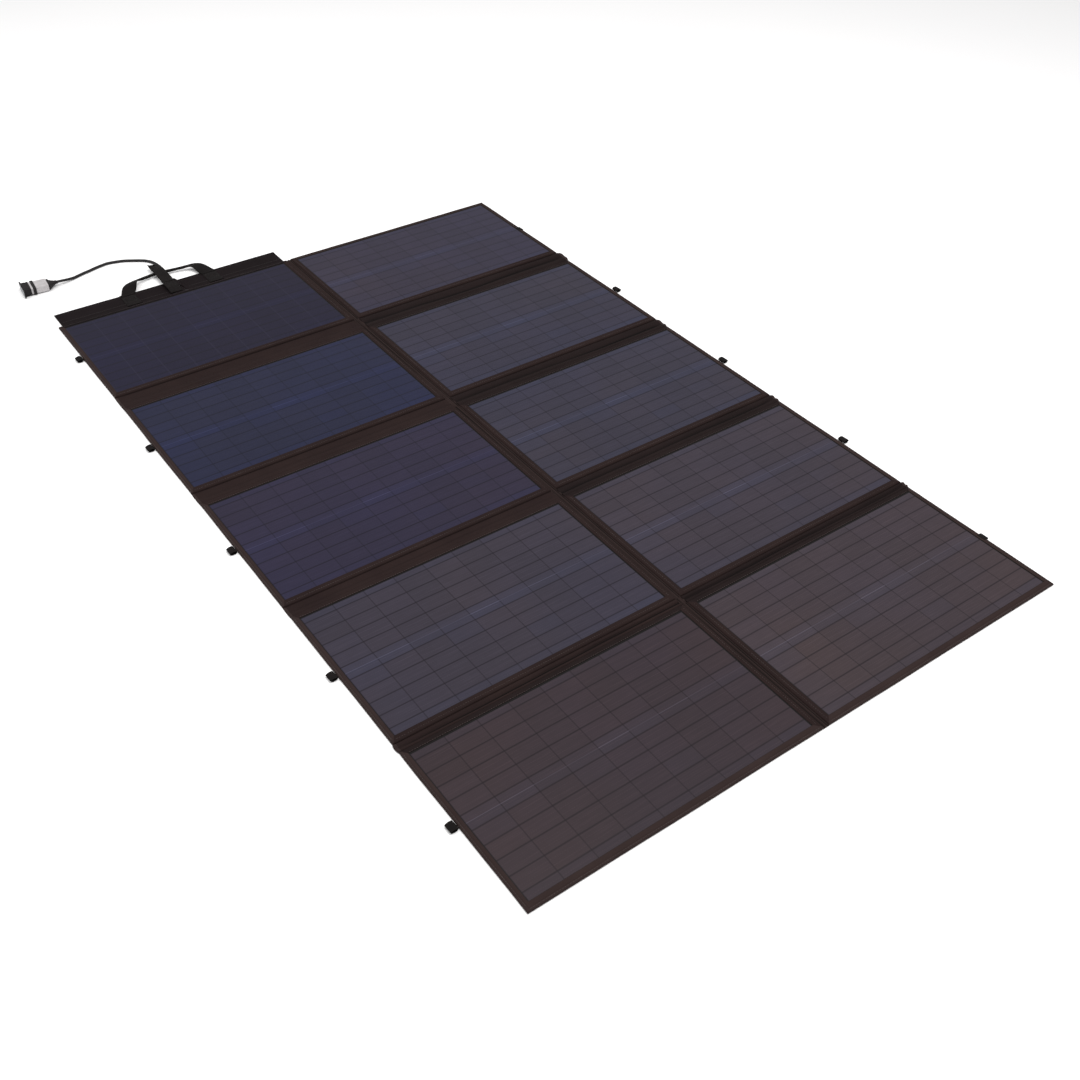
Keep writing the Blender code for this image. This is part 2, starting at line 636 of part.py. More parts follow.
def build():
    """Makes every piece of the blanket."""
    clear_scene()
    canvas = make_material("canvas", (0.030, 0.022, 0.020), 0.85)
    board = make_material("board", (0.60, 0.60, 0.58), 0.60)
    laminate = make_material("laminate", (0.035, 0.036, 0.052), 0.25)
    webbing = make_material("webbing", (0.022, 0.019, 0.020), 0.80)
    jacket = make_material("jacket", (0.012, 0.012, 0.013), 0.45)
    grey_plastic = make_material("grey_plastic", (0.46, 0.46, 0.47), 0.50)
    plating = make_material("plating", (0.80, 0.78, 0.72), 0.25, 1.0)
    black_rubber = make_material("black_rubber", (0.015, 0.015, 0.016), 0.60)
    potting = make_material("potting", (0.02, 0.02, 0.02), 0.50)
    pivots = make_pivots()
    for column in ("L", "R"):
        for row in range(1, ROWS + 1):
            panel = f"{column}{row}"
            add_piece(f"canvas_{panel}", canvas_panel(column, row), canvas, pivots[panel])
            add_piece(f"board_{panel}", panel_layer(column, row, BOARD_LEVELS), board,
                      pivots[panel])
            add_piece(f"laminate_{panel}", panel_layer(column, row, LAMINATE_LEVELS), laminate,
                      pivots[panel])
            add_piece(f"tie_loop_{panel}", tie_loop(column, row), webbing, pivots[panel],
                      smooth=True)
            if row < ROWS:
                add_piece(f"gap_{panel}", fold_strip(column, row), canvas, pivots[f"gap_{panel}"])
    flap = add_piece("flap", closing_flap(), canvas, pivots["flap"])
    add_cutter("lead_slot", lead_slot(), flap)
    add_piece("handle", carry_handle(), webbing, pivots["handle"])
    add_piece("strap", closing_strap(), webbing, pivots["strap"])
    add_piece("junction_block", junction_block(), potting)
    add_cable(jacket)
    add_piece("cable_boot", cable_boot(), black_rubber, smooth=True)
    add_housing(grey_plastic)
    add_piece("contact_pos", contact_blade(1.0), plating)
    add_piece("contact_neg", contact_blade(-1.0), plating)
    add_piece("cover_band", cover_band(), black_rubber, smooth=True)
    add_piece("dust_cover", dust_cover(), black_rubber, pivots["dust_cover"], smooth=True)


build()
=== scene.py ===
"""Looks of the folding solar blanket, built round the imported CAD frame.

Lengths are in metres. L and R are the two columns, rows count from 1 at the lead to 5.
"""
import math

import bmesh
import bpy
from mathutils import Matrix, Vector, noise


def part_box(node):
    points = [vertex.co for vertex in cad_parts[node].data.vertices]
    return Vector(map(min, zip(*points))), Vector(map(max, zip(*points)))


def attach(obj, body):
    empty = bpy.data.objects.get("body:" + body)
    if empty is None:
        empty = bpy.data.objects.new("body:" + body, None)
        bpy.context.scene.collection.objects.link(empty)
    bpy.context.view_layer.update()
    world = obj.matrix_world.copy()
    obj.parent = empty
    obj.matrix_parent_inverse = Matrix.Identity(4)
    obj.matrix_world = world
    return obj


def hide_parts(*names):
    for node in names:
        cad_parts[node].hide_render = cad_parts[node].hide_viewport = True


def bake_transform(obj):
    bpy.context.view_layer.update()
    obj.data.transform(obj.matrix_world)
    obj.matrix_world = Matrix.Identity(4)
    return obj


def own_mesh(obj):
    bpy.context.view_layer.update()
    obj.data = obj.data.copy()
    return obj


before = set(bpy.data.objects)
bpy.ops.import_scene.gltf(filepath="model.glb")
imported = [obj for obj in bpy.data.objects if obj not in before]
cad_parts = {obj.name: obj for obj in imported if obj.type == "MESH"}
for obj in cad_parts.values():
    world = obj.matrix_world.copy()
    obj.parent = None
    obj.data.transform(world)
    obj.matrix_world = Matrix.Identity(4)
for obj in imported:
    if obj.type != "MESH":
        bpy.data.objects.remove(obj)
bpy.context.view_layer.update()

ROWS = 5
MM = 0.001
CELLS_ACROSS = 9
CELLS_ALONG = 2
LAMINATE_MARGIN = 0.0030     # the laminate runs this far past the cells
SLIT = 0.0055                # the covers stop this far from the column fold
FACE_TOP = 0.0037
WEAVE_PITCH = 0.0008
RIB_PITCH = 0.0022
THREAD_PITCH = 0.0014
UP = Vector((0.0, 0.0, 1.0))


# ---- measures from the frame

def panel_body(panel):
    """Name of the CAD body that a panel rides on."""
    return "root" if panel == "L1" else f"panel_{panel}"


def cell_area(panel):
    """x_low, x_high, y_low, y_high of a panel's cells."""
    low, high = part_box(f"laminate_{panel}")
    m = LAMINATE_MARGIN
    return low.x + m, high.x - m, low.y + m, high.y - m


PANELS = [f"{column}{row}" for column in "LR" for row in range(1, ROWS + 1)]
CELLS = {panel: cell_area(panel) for panel in PANELS}
NEAR = {row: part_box(f"canvas_R{row}")[0].y for row in range(1, ROWS + 1)}
FAR = {row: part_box(f"canvas_R{row}")[1].y for row in range(1, ROWS + 1)}
FE = FAR[1]                  # the far edge of the first row
OUTER_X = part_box("canvas_R3")[1].x


# ---- colour and materials

def linear(r, g, b, gain=1.0):
    """Linear colour from 8-bit sRGB numbers, made lighter or darker by the gain."""
    out = []
    for value in (r, g, b):
        c = value * gain / 255.0
        out.append(c / 12.92 if c <= 0.04045 else ((c + 0.055) / 1.055) ** 2.4)
    return (*out, 1.0)


class Nodes:
    """Short calls for a material's node tree."""

    def __init__(self, name, roughness, specular=0.3, metallic=0.0):
        self.material = bpy.data.materials.new(name)
        self.material.use_nodes = True
        self.tree = self.material.node_tree
        self.shader = self.tree.nodes["Principled BSDF"]
        self.shader.inputs["Roughness"].default_value = roughness
        self.shader.inputs["Specular IOR Level"].default_value = specular
        self.shader.inputs["Metallic"].default_value = metallic

    def put(self, socket, value):
        if isinstance(value, bpy.types.NodeSocket):
            self.tree.links.new(value, socket)
        else:
            socket.default_value = value

    def add(self, kind, output, inputs=(), **settings):
        """Output of a new node; inputs pairs its sockets with values or links."""
        made = self.tree.nodes.new(kind)
        for key, value in settings.items():
            setattr(made, key, value)
        for key, value in inputs:
            self.put(made.inputs[key], value)
        return made.outputs[output]

    def math(self, operation, *values):
        return self.add("ShaderNodeMath", 0, enumerate(values), operation=operation)

    def mul(self, first, second):
        return self.math("MULTIPLY", first, second)

    def mix(self, factor, first, second):
        return self.add("ShaderNodeMix", "Result",
                        (("Factor", factor), ("A", first), ("B", second)), data_type="RGBA")

    def ramp(self, value, low, high, to_low=0.0, to_high=1.0):
        return self.add("ShaderNodeMapRange", "Result",
                        zip(("Value", "From Min", "From Max", "To Min", "To Max"),
                            (value, low, high, to_low, to_high)))

    def noise(self, vector, scale, detail=3.0, roughness=0.5):
        return self.add("ShaderNodeTexNoise", "Fac",
                        (("Vector", vector), ("Scale", scale), ("Detail", detail),
                         ("Roughness", roughness)))

    def uv(self):
        return self.add("ShaderNodeUVMap", "UV", uv_map="UVMap")

    def split_uv(self):
        uv = self.uv()
        return [self.add("ShaderNodeSeparateXYZ", axis, ((0, uv),)) for axis in "XY"]

    def position(self):
        return self.add("ShaderNodeTexCoord", "Object")

    def colour(self, value):
        self.put(self.shader.inputs["Base Color"], value)

    def roughness(self, value):
        self.put(self.shader.inputs["Roughness"], value)

    def bump(self, height, strength, distance):
        normal = self.add("ShaderNodeBump", "Normal", (("Strength", strength),
                                                       ("Distance", distance), ("Height", height)))
        self.put(self.shader.inputs["Normal"], normal)

    def sheen(self, weight, tint):
        self.shader.inputs["Sheen Weight"].default_value = weight
        self.shader.inputs["Sheen Roughness"].default_value = 0.45
        self.shader.inputs["Sheen Tint"].default_value = tint


def canvas_material(name, colour, worn):
    """Coated polyester canvas: a fine plain weave, slight mottling, a soft sheen, and painted
    shade where the mesh's own "shade" values ask for it."""
    n = Nodes(name, 0.80, 0.06)
    along, across = [n.math("SINE", n.mul(c, math.pi / WEAVE_PITCH)) for c in n.split_uv()]
    weave = n.math("MULTIPLY_ADD", n.mul(along, across), 0.5, 0.5)
    mottle = n.noise(n.position(), 9.0, 4.0, 0.6)
    fibre = n.noise(n.position(), 900.0, 2.0, 0.5)
    base = n.mix(n.ramp(mottle, 0.35, 0.70), linear(*colour), linear(*worn))
    base = n.mix(n.mul(weave, 0.30), base, linear(*worn, 1.7))
    base = n.mix(n.ramp(fibre, 0.45, 0.75, 0.0, 0.25), base, linear(*colour, 0.6))
    # Painted shade: the mesh's "shade" values darken the cloth in its valleys and under the
    # borders.
    shade = n.add("ShaderNodeAttribute", "Fac", attribute_name="shade")
    n.colour(n.mix(shade, base, linear(*colour, 0.25)))
    n.roughness(n.ramp(mottle, 0.3, 0.8, 0.72, 0.86))
    n.sheen(0.02, linear(150, 120, 110))
    n.bump(n.math("MULTIPLY_ADD", fibre, 0.35, weave), 0.5, 0.0002)
    return n.material


def webbing_material(name, colour, worn):
    """Ribbed polypropylene webbing."""
    n = Nodes(name, 0.74, 0.08)
    u, v = n.split_uv()
    rib = n.math("SINE", n.mul(u, math.tau / RIB_PITCH))
    rib = n.math("MULTIPLY_ADD", rib, 0.5, 0.5)
    thread = n.math("ADD", n.mul(v, math.tau / THREAD_PITCH), n.mul(rib, 2.4))
    thread = n.math("MULTIPLY_ADD", n.math("SINE", thread), 0.5, 0.5)
    height = n.mul(n.math("MULTIPLY_ADD", rib, 0.7, 0.3), thread)
    mottle = n.noise(n.position(), 35.0)
    base = n.mix(n.ramp(mottle, 0.35, 0.7), linear(*colour), linear(*worn))
    n.colour(n.mix(n.mul(height, 0.35), base, linear(*worn, 1.8)))
    n.sheen(0.02, linear(140, 130, 130))
    n.bump(height, 0.7, 0.0004)
    return n.material


def plastic_material(name, colour, worn, roughness, grain=0.00012, specular=0.4, metallic=0.0):
    """Moulded plastic or rubber with a spark-eroded grain and faint wear."""
    n = Nodes(name, roughness, specular, metallic)
    place = n.position()
    grain_noise = n.noise(place, 1500.0, 3.0)
    wear = n.noise(place, 60.0, 5.0, 0.65)
    n.colour(n.mix(n.ramp(wear, 0.45, 0.70), linear(*colour), linear(*worn)))
    n.roughness(n.ramp(wear, 0.3, 0.7, max(0.05, roughness - 0.07), min(1.0, roughness + 0.07)))
    n.bump(grain_noise, 0.45, grain)
    return n.material


def cell_material(name, tint, strip, gap):
    """Monocrystalline cells behind a matt film: busbars, cell gaps and a slightly different
    tint in each cell. The UV counts cells: u 0 to 9 across, v 0 to 2 along."""
    n = Nodes(name, 0.42, 0.13)
    u, v = n.split_uv()

    def away_from(value, centre):
        return n.math("ABSOLUTE", n.math("SUBTRACT", value, centre))

    def near_line(value, centre, half, soft):
        return n.ramp(away_from(value, centre), half + soft, half)

    def cell_random(scale_v, shift):
        """One random number for each cell, or for each of its parts along v."""
        part = n.math("FLOOR", n.math("MULTIPLY_ADD", v, scale_v, 0.5))
        place = n.add("ShaderNodeCombineXYZ", 0, enumerate((n.math("FLOOR", u), part, shift)))
        return n.add("ShaderNodeTexWhiteNoise", "Value", (("Vector", place),),
                     noise_dimensions="3D")

    # 1 on the cells; 0 on the laminate's margin and on thin bands over the cells' far and right
    # edges, where the lip's painted shadow goes.
    inside = n.mul(n.math("LESS_THAN", away_from(u, 4.489), 4.491),
                   n.math("LESS_THAN", away_from(v, 0.993), 0.995))
    bar = n.math("FRACT", n.mul(v, 5.0))
    busbar = near_line(bar, 0.5, 0.022, 0.040)
    column_gap = n.ramp(away_from(n.math("FRACT", u), 0.5), 0.476, 0.492)
    row_gap = near_line(v, 1.0, 0.0030, 0.0020)
    centre_row = near_line(v, 1.0, 0.085, 0.02)
    dash = n.math("GREATER_THAN", n.math("FRACT", n.mul(u, 14.0)), 0.42)
    fingers = n.math("MAXIMUM", near_line(bar, 0.167, 0.004, 0.010),
                     near_line(bar, 0.833, 0.004, 0.010))
    edge_strip = n.math("MAXIMUM", n.math("GREATER_THAN", n.math("FRACT", v), 0.90),
                        n.math("LESS_THAN", v, 0.10))
    crystal = n.noise(n.uv(), 3.0, 4.0, 0.6)
    streaks = n.add("ShaderNodeMapping", "Vector", (("Scale", (0.9, 70.0, 1.0)),
                                                    ("Vector", n.uv())))
    fine = n.noise(streaks, 1.0, 2.0)
    patch = n.noise(n.position(), 2.2, 2.0)
    warm, cool, dark = ([c * gain for c, gain in zip(tint, gains)]
                        for gains in ((1.05, 1.01, 0.97), (0.97, 0.98, 1.04), (0.44, 0.40, 0.46)))
    base = n.mix(n.ramp(patch, 0.36, 0.64), linear(*cool), linear(*warm))
    for factor, colour in (
            (n.mul(centre_row, 0.42), linear(*strip, 1.08)),
            (n.mul(edge_strip, 0.45), linear(*strip)),
            (n.ramp(cell_random(1.0, 3.7), 0.0, 1.0, 0.0, 0.5), linear(*tint, 0.86)),
            (n.ramp(cell_random(5.0, 8.1), 0.80, 1.0, 0.0, 0.35), linear(*strip)),
            (n.ramp(crystal, 0.3, 0.7, 0.0, 0.18), linear(*tint, 0.8)),
            (n.ramp(fine, 0.50, 0.75, 0.0, 0.30), linear(*tint, 1.3)),
            (n.mul(n.mul(fingers, dash), 0.20), linear(*tint, 1.7)),
            (n.mul(busbar, 0.70), linear(*dark)),
            (n.mul(column_gap, 0.55), linear(*gap)),
            (n.mul(row_gap, n.ramp(cell_random(0.0, 5.3), 0.2, 0.9, 0.20, 0.65)),
             linear(*[c * 1.3 + 22 for c in strip]))):
        base = n.mix(factor, base, colour)
    # Dark laminate margin round the cells, widened over their far and right edges into a painted
    # shadow of the canvas lip.
    n.colour(n.mix(inside, linear(12, 9, 9), base))
    grain = n.noise(n.uv(), 260.0, 2.0)
    n.roughness(n.ramp(grain, 0.3, 0.7, 0.36, 0.46))
    n.bump(grain, 0.15, 0.0001)
    return n.material


def show_as(node, material):
    """Gives a CAD piece that stays visible its material."""
    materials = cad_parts[node].data.materials
    materials.clear()
    materials.append(material)


CANVAS = canvas_material("canvas_cloth", (36, 27, 26), (44, 35, 34))
STRIP = canvas_material("strip_cloth", (26, 18, 18), (35, 26, 25))
FOLD_CANVAS = canvas_material("fold_canvas", (33, 25, 24), (42, 33, 32))
# Painted shade: a darker copy of the strip cloth, for the right column's strips and for the far
# borders of the right panels and of L5.
SHADED_STRIP_CLOTH = canvas_material("strip_cloth_painted_shade", (20, 14, 14), (28, 21, 21))
FLAP_CANVAS = canvas_material("flap_canvas", (14, 10, 11), (22, 17, 19))
BINDING = webbing_material("binding_tape", (36, 28, 27), (45, 36, 35))
WEBBING = webbing_material("black_webbing", (14, 12, 12), (21, 18, 18))
THREAD = plastic_material("thread", (60, 52, 50), (73, 64, 62), 0.6)
DARK_THREAD = plastic_material("dark_thread", (30, 26, 26), (40, 35, 35), 0.6)
JACKET = plastic_material("jacket_vinyl", (20, 17, 18), (30, 26, 27), 0.46, specular=0.22)
GREY = plastic_material("grey_nylon", (178, 175, 176), (158, 154, 155), 0.48)
COVER_GREY = plastic_material("cover_grey", (132, 134, 138), (112, 113, 118), 0.45)
BLACK = plastic_material("black_rubber_skin", (20, 17, 18), (32, 28, 29), 0.58, specular=0.2)
PLATING = plastic_material("silver_plating", (214, 208, 196), (190, 182, 168), 0.28, 0.00003,
                           0.5, 1.0)
BOARD = plastic_material("stiff_board", (196, 190, 178), (176, 168, 154), 0.65)
POTTING = plastic_material("potting_resin", (32, 31, 33), (44, 42, 44), 0.45)

# 8-bit sRGB of each panel's cells: their own colour with a painted reflection that makes the far
# left panels bluer and the near ones browner; and how the gaps between them differ from it
PANEL_TINTS_AND_REFLECTION = {"L1": (24, 21, 40), "L2": (30, 32, 53), "L3": (39, 35, 52), "L4": (50, 46, 55),
         "L5": (49, 40, 44), "R1": (45, 41, 55), "R2": (46, 44, 57), "R3": (47, 45, 57),
         "R4": (52, 47, 55), "R5": (56, 48, 52)}
GAP_GAIN = {"L1": (1.5, 1.65, 1.3), "L2": (0.55, 0.55, 0.6), "L3": (0.55, 0.55, 0.6)}
OTHER_GAP_GAIN = (0.46, 0.42, 0.48)
STRIP_GAIN = (0.97, 1.05, 1.17)


def cell_colours(panel):
    """Colours of the cells, the bluer strips beside the cell edges, and the cell gaps."""
    tint = PANEL_TINTS_AND_REFLECTION[panel]
    return (tint, *([int(c * gain) for c, gain in zip(tint, gains)]
                    for gains in (STRIP_GAIN, GAP_GAIN.get(panel, OTHER_GAP_GAIN))))


# ---- mesh helpers

class Shell:
    """Collects points and faces, then makes one object of them."""

    def __init__(self):
        self.points = []
        self.uvs = []
        self.faces = []
        self.slots = []
        self.shades = {}

    def add(self, point, uv=None):
        """One point; a cloth's texture place is flat over the ground, stretched down its sides."""
        self.points.append(tuple(point))
        x, y, z = point
        self.uvs.append(uv if uv is not None else (x + 0.5 * z, y + 0.7 * z))
        return len(self.points) - 1

    def row(self, points, uvs=None):
        uvs = uvs or [None] * len(points)
        return [self.add(p, uv) for p, uv in zip(points, uvs)]

    def face(self, corners, slot=0):
        self.faces.append(tuple(corners))
        self.slots.append(slot)

    def bridge(self, first, second, slot=0, closed=True):
        count = len(first)
        for i in range(count if closed else count - 1):
            j = (i + 1) % count
            self.face((first[i], first[j], second[j], second[i]), slot)

    def slab(self, tops, lows, slots=None):
        """A closed sheet between an upper and a lower grid of points."""
        for grid in (tops, lows):
            for k, (first, second) in enumerate(zip(grid, grid[1:])):
                self.bridge(first, second, slots[k] if slots else 0, closed=False)
        for end in (0, -1):
            self.bridge(tops[end], lows[end], closed=False)
            self.bridge([top[end] for top in tops], [low[end] for low in lows], closed=False)

    def make(self, name, materials, body=None, smooth=40.0):
        """One object of all that was collected; smooth is the sharpest smoothed angle."""
        mesh = bpy.data.meshes.new(name)
        mesh.from_pydata(self.points, [], self.faces)
        layer = mesh.uv_layers.new(name="UVMap")
        for loop in mesh.loops:
            layer.data[loop.index].uv = self.uvs[loop.vertex_index]
        if self.shades:
            shade = mesh.attributes.new("shade", "FLOAT", "POINT")
            for number, value in self.shades.items():
                shade.data[number].value = value
        for material in materials:
            mesh.materials.append(material)
        for polygon, slot in zip(mesh.polygons, self.slots):
            polygon.material_index = slot
        bm = bmesh.new()
        bm.from_mesh(mesh)
        bmesh.ops.recalc_face_normals(bm, faces=bm.faces)
        bm.to_mesh(mesh)
        bm.free()
        if smooth:
            mesh.shade_smooth()
            mesh.set_sharp_from_angle(angle=math.radians(smooth))
        obj = bpy.data.objects.new(name, mesh)
        bpy.context.collection.objects.link(obj)
        if body is not None:
            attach(obj, body)
        return obj


def loft(name, sections, materials, body=None, closed=False, uvs=None, smooth=40.0, slots=None):
    """A solid through a row of closed sections."""
    shell = Shell()
    slots = slots or [0] * len(sections)
    rings = [shell.row(s, uvs[i] if uvs else None) for i, s in enumerate(sections)]
    for first, second, slot in zip(rings, rings[1:], slots):
        shell.bridge(first, second, slot)
    if closed:
        shell.bridge(rings[-1], rings[0], slots[-1])
    else:
        shell.face(rings[0][::-1], slots[0])
        shell.face(rings[-1], slots[-1])
    return shell.make(name, materials, body, smooth)


def smooth_step(t):
    t = min(1.0, max(0.0, t))
    return t * t * (3.0 - 2.0 * t)


def bell(value, centre, width):
    """1 at the centre, falling smoothly to 0 on both sides."""
    return math.exp(-((value - centre) / width) ** 2)


def wave(x, y, scale, seed):
    """Smooth noise from -1 to 1 over the ground."""
    return noise.noise(Vector((x * scale + seed * 7.3, y * scale - seed * 3.1, seed * 1.7)))


def sample(stations, position):
    """Value between (position, value) stations."""
    if position <= stations[0][0]:
        return stations[0][1]
    for (a, low), (b, high) in zip(stations, stations[1:]):
        if position <= b:
            return low + (high - low) * (position - a) / max(1e-9, b - a)
    return stations[-1][1]


def spline(rows, count):
    """Even steps along a smooth curve through rows of numbers."""
    padded = [[2 * a - b for a, b in zip(rows[0], rows[1])], *rows,
              [2 * a - b for a, b in zip(rows[-1], rows[-2])]]
    out = []
    for k in range(count + 1):
        place = (len(rows) - 1) * k / count
        i = min(int(place), len(rows) - 2)
        t = place - i
        out.append([0.5 * (2 * b + (c - a) * t + (2 * a - 5 * b + 4 * c - d) * t * t
                           + (3 * b - a - 3 * c + d) * t ** 3)
                    for a, b, c, d in zip(*padded[i:i + 4])])
    return out


# Cross-section pieces of a ribbon: across from -1 to 1, and up from -1 to 1.
RIBBON_SECTION = ((-1.0, -0.35), (-0.96, -1.0), (-0.6, -1.0), (0.0, -1.0), (0.6, -1.0),
                  (0.96, -1.0), (1.0, -0.35), (1.0, 0.35), (0.96, 1.0), (0.6, 1.0), (0.0, 1.0),
                  (-0.6, 1.0), (-0.96, 1.0), (-1.0, 0.35))


def ribbon(name, left, right, thickness, materials, notch=0.0):
    """A tape between two edge lines; thickness is one number or one for each station, and
    notch is the depth of the V cut in its far end."""
    last = len(left) - 1
    thick = [thickness] * len(left) if isinstance(thickness, float) else thickness
    middles = [(Vector(a) + Vector(b)) / 2.0 for a, b in zip(left, right)]
    sections, uvs, along = [], [], 0.0
    for i, middle in enumerate(middles):
        tangent = (middles[min(last, i + 1)] - middles[max(0, i - 1)]).normalized()
        side = Vector(right[i]) - Vector(left[i])
        half = side.length / 2.0
        side.normalize()
        up = side.cross(tangent).normalized()
        up = -up if up.z < 0.0 else up
        along += (middle - middles[max(0, i - 1)]).length
        cut = notch * max(0.0, 1.0 - (last - i) / 6.0)
        sections.append([middle + side * half * across + up * thick[i] * 0.5 * rise
                         - tangent * cut * (1.0 - abs(across)) for across, rise in RIBBON_SECTION])
        uvs.append([(half * across, along) for across, _ in RIBBON_SECTION])
    return loft(name, sections, materials, uvs=uvs, smooth=50.0)


def rounded_ring(centre, axis, width, height, radius, steps=5):
    """An upright rounded rectangle square to an axis."""
    side = UP.cross(axis).normalized()
    ring = []
    for quarter, (a, b) in enumerate(((1, 1), (-1, 1), (-1, -1), (1, -1))):
        corner = centre + side * a * (width / 2 - radius) + UP * b * (height / 2 - radius)
        for step in range(steps + 1):
            angle = math.radians(90.0) * (quarter + step / steps)
            ring.append(corner + side * radius * math.cos(angle) + UP * radius * math.sin(angle))
    return ring


def stitch_line(shell, points, length=0.0030, pitch=0.0046, width=0.0007, height=0.0003):
    """Small dashes of thread along a polyline on a level surface."""
    distance = pitch * 0.5
    for a, b in zip(points, points[1:]):
        a, b = Vector(a), Vector(b)
        span = (b - a).length
        if span < 1e-7:
            continue
        forward = (b - a) / span
        side = UP.cross(forward).normalized() * (width / 2)
        bevel = forward * (length * 0.18)
        while distance + length < span:
            start = a + forward * distance - UP * 0.0001
            end = start + forward * length
            c = shell.row((start - side, start + side, end + side, end - side))
            r = shell.row((start + bevel + UP * height, end - bevel + UP * height))
            for corners in ((c[0], c[1], r[0]), (c[2], c[3], r[1]), (c[1], c[2], r[1], r[0]),
                            (c[3], c[0], r[0], r[1]), (c[3], c[2], c[1], c[0])):
                shell.face(corners)
            distance += pitch
        distance = max(distance - span, 0.0)


# ---- camera

def add_camera():
    """The photograph's view: high over the near left corner, with a normal lens."""
    data = bpy.data.cameras.new("camera")
    data.sensor_width = 36.0
    data.lens = 40.67
    data.clip_start = 0.05
    data.clip_end = 60.0
    camera = bpy.data.objects.new("camera", data)
    bpy.context.collection.objects.link(camera)
    right = Vector((0.810085, -0.585973, 0.019928))
    down = Vector((-0.370997, -0.538616, -0.756475))
    ahead = Vector((0.454008, 0.605416, -0.653719))
    turn = Matrix((right, -down, -ahead)).transposed().to_4x4()
    camera.matrix_world = Matrix.Translation((-1.13548, -1.74569, 1.47974)) @ turn
    bpy.context.scene.camera = camera


add_camera()


# ---- output lead

CABLE_ROUTE = ((-0.2850, 0.0003), (-0.2850, 0.0330), (-0.2840, 0.0730), (-0.2810, 0.1070),
               (-0.2790, 0.1290), (-0.2790, 0.1480), (-0.2820, 0.1660), (-0.2870, 0.1800),
               (-0.2960, 0.1920), (-0.3090, 0.2020), (-0.3220, 0.2100), (-0.3350, 0.2180),
               (-0.3500, 0.2240), (-0.3760, 0.2300), (-0.3920, 0.2280), (-0.4100, 0.2240),
               (-0.4270, 0.2185), (-0.4430, 0.2145), (-0.4580, 0.2095), (-0.4730, 0.2040),
               (-0.4870, 0.1995), (-0.4990, 0.1965), (-0.5100, 0.1950), (-0.5190, 0.1944))
CABLE_LEVEL = 0.0026
CONNECTOR_LEVEL = 0.0100
CABLE_SIZE = (0.0084, 0.0045)
CABLE_RISE = 0.0600
CONNECTOR_REAR = (-0.5380, 0.1950)
CONNECTOR_TURN = math.radians(175.0)
CONNECTOR_AXIS = Vector((math.cos(CONNECTOR_TURN), math.sin(CONNECTOR_TURN), 0.0))


def cable_path(count=160):
    """Evenly spaced points on the smooth curve through the route, which rises to the connector."""
    fine = [Vector((x, FE + past, 0.0))
            for x, past in spline(CABLE_ROUTE, 16 * (len(CABLE_ROUTE) - 1))]
    lengths = [0.0]
    for a, b in zip(fine, fine[1:]):
        lengths.append(lengths[-1] + (b - a).length)
    path, index = [], 0
    for step in range(count):
        wanted = lengths[-1] * step / (count - 1)
        while index < len(lengths) - 2 and lengths[index + 1] < wanted:
            index += 1
        span = lengths[index + 1] - lengths[index]
        point = fine[index].lerp(fine[index + 1], (wanted - lengths[index]) / span)
        before_end = lengths[-1] * (1.0 - step / (count - 1))
        rise = smooth_step(1.0 - before_end / CABLE_RISE)
        point.z = CABLE_LEVEL + (CONNECTOR_LEVEL - CABLE_LEVEL) * rise
        path.append(point)
    return path


def twin_ring(centre, axis, width, height, steps=9):
    """Figure-eight section of a twin lead."""
    side = UP.cross(axis).normalized()
    lift = axis.cross(side).normalized()
    radius = height / 2.0
    offset = width / 2.0 - radius
    ring = []
    for sign in (1.0, -1.0):
        for step in range(steps + 1):
            angle = math.radians(-128.0 + 256.0 * step / steps)
            across = sign * (offset + radius * math.cos(angle))
            ring.append(centre + side * across + lift * (sign * radius * math.sin(angle)))
    return ring


def add_cable():
    """The twin lead, and the points along its middle."""
    path = cable_path()
    rings, uvs, along = [], [], 0.0
    for before, point, after in zip(path[:1] + path, path, path[1:] + path[-1:]):
        along += (point - before).length
        ring = twin_ring(point, (after - before).normalized(), *CABLE_SIZE)
        rings.append(ring)
        uvs.append([(0.02 * k / len(ring), along) for k in range(len(ring))])
    cable = loft("lead", rings, [JACKET], "root", uvs=uvs, smooth=55.0)
    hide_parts("cable")
    return cable, path


def connector_point(along, across=0.0, up=0.0):
    """A place on the connector, from the middle of its rear face."""
    side = Vector((-CONNECTOR_AXIS.y, CONNECTOR_AXIS.x, 0.0))
    origin = Vector((CONNECTOR_REAR[0], FE + CONNECTOR_REAR[1], CONNECTOR_LEVEL))
    return origin + CONNECTOR_AXIS * along + side * across + UP * up


def connector_rings(profile):
    """Rings on the connector: along, width, height and corner radius in millimetres."""
    return [rounded_ring(connector_point(along * MM), CONNECTOR_AXIS, *[v * MM for v in sizes])
            for along, *sizes in profile]


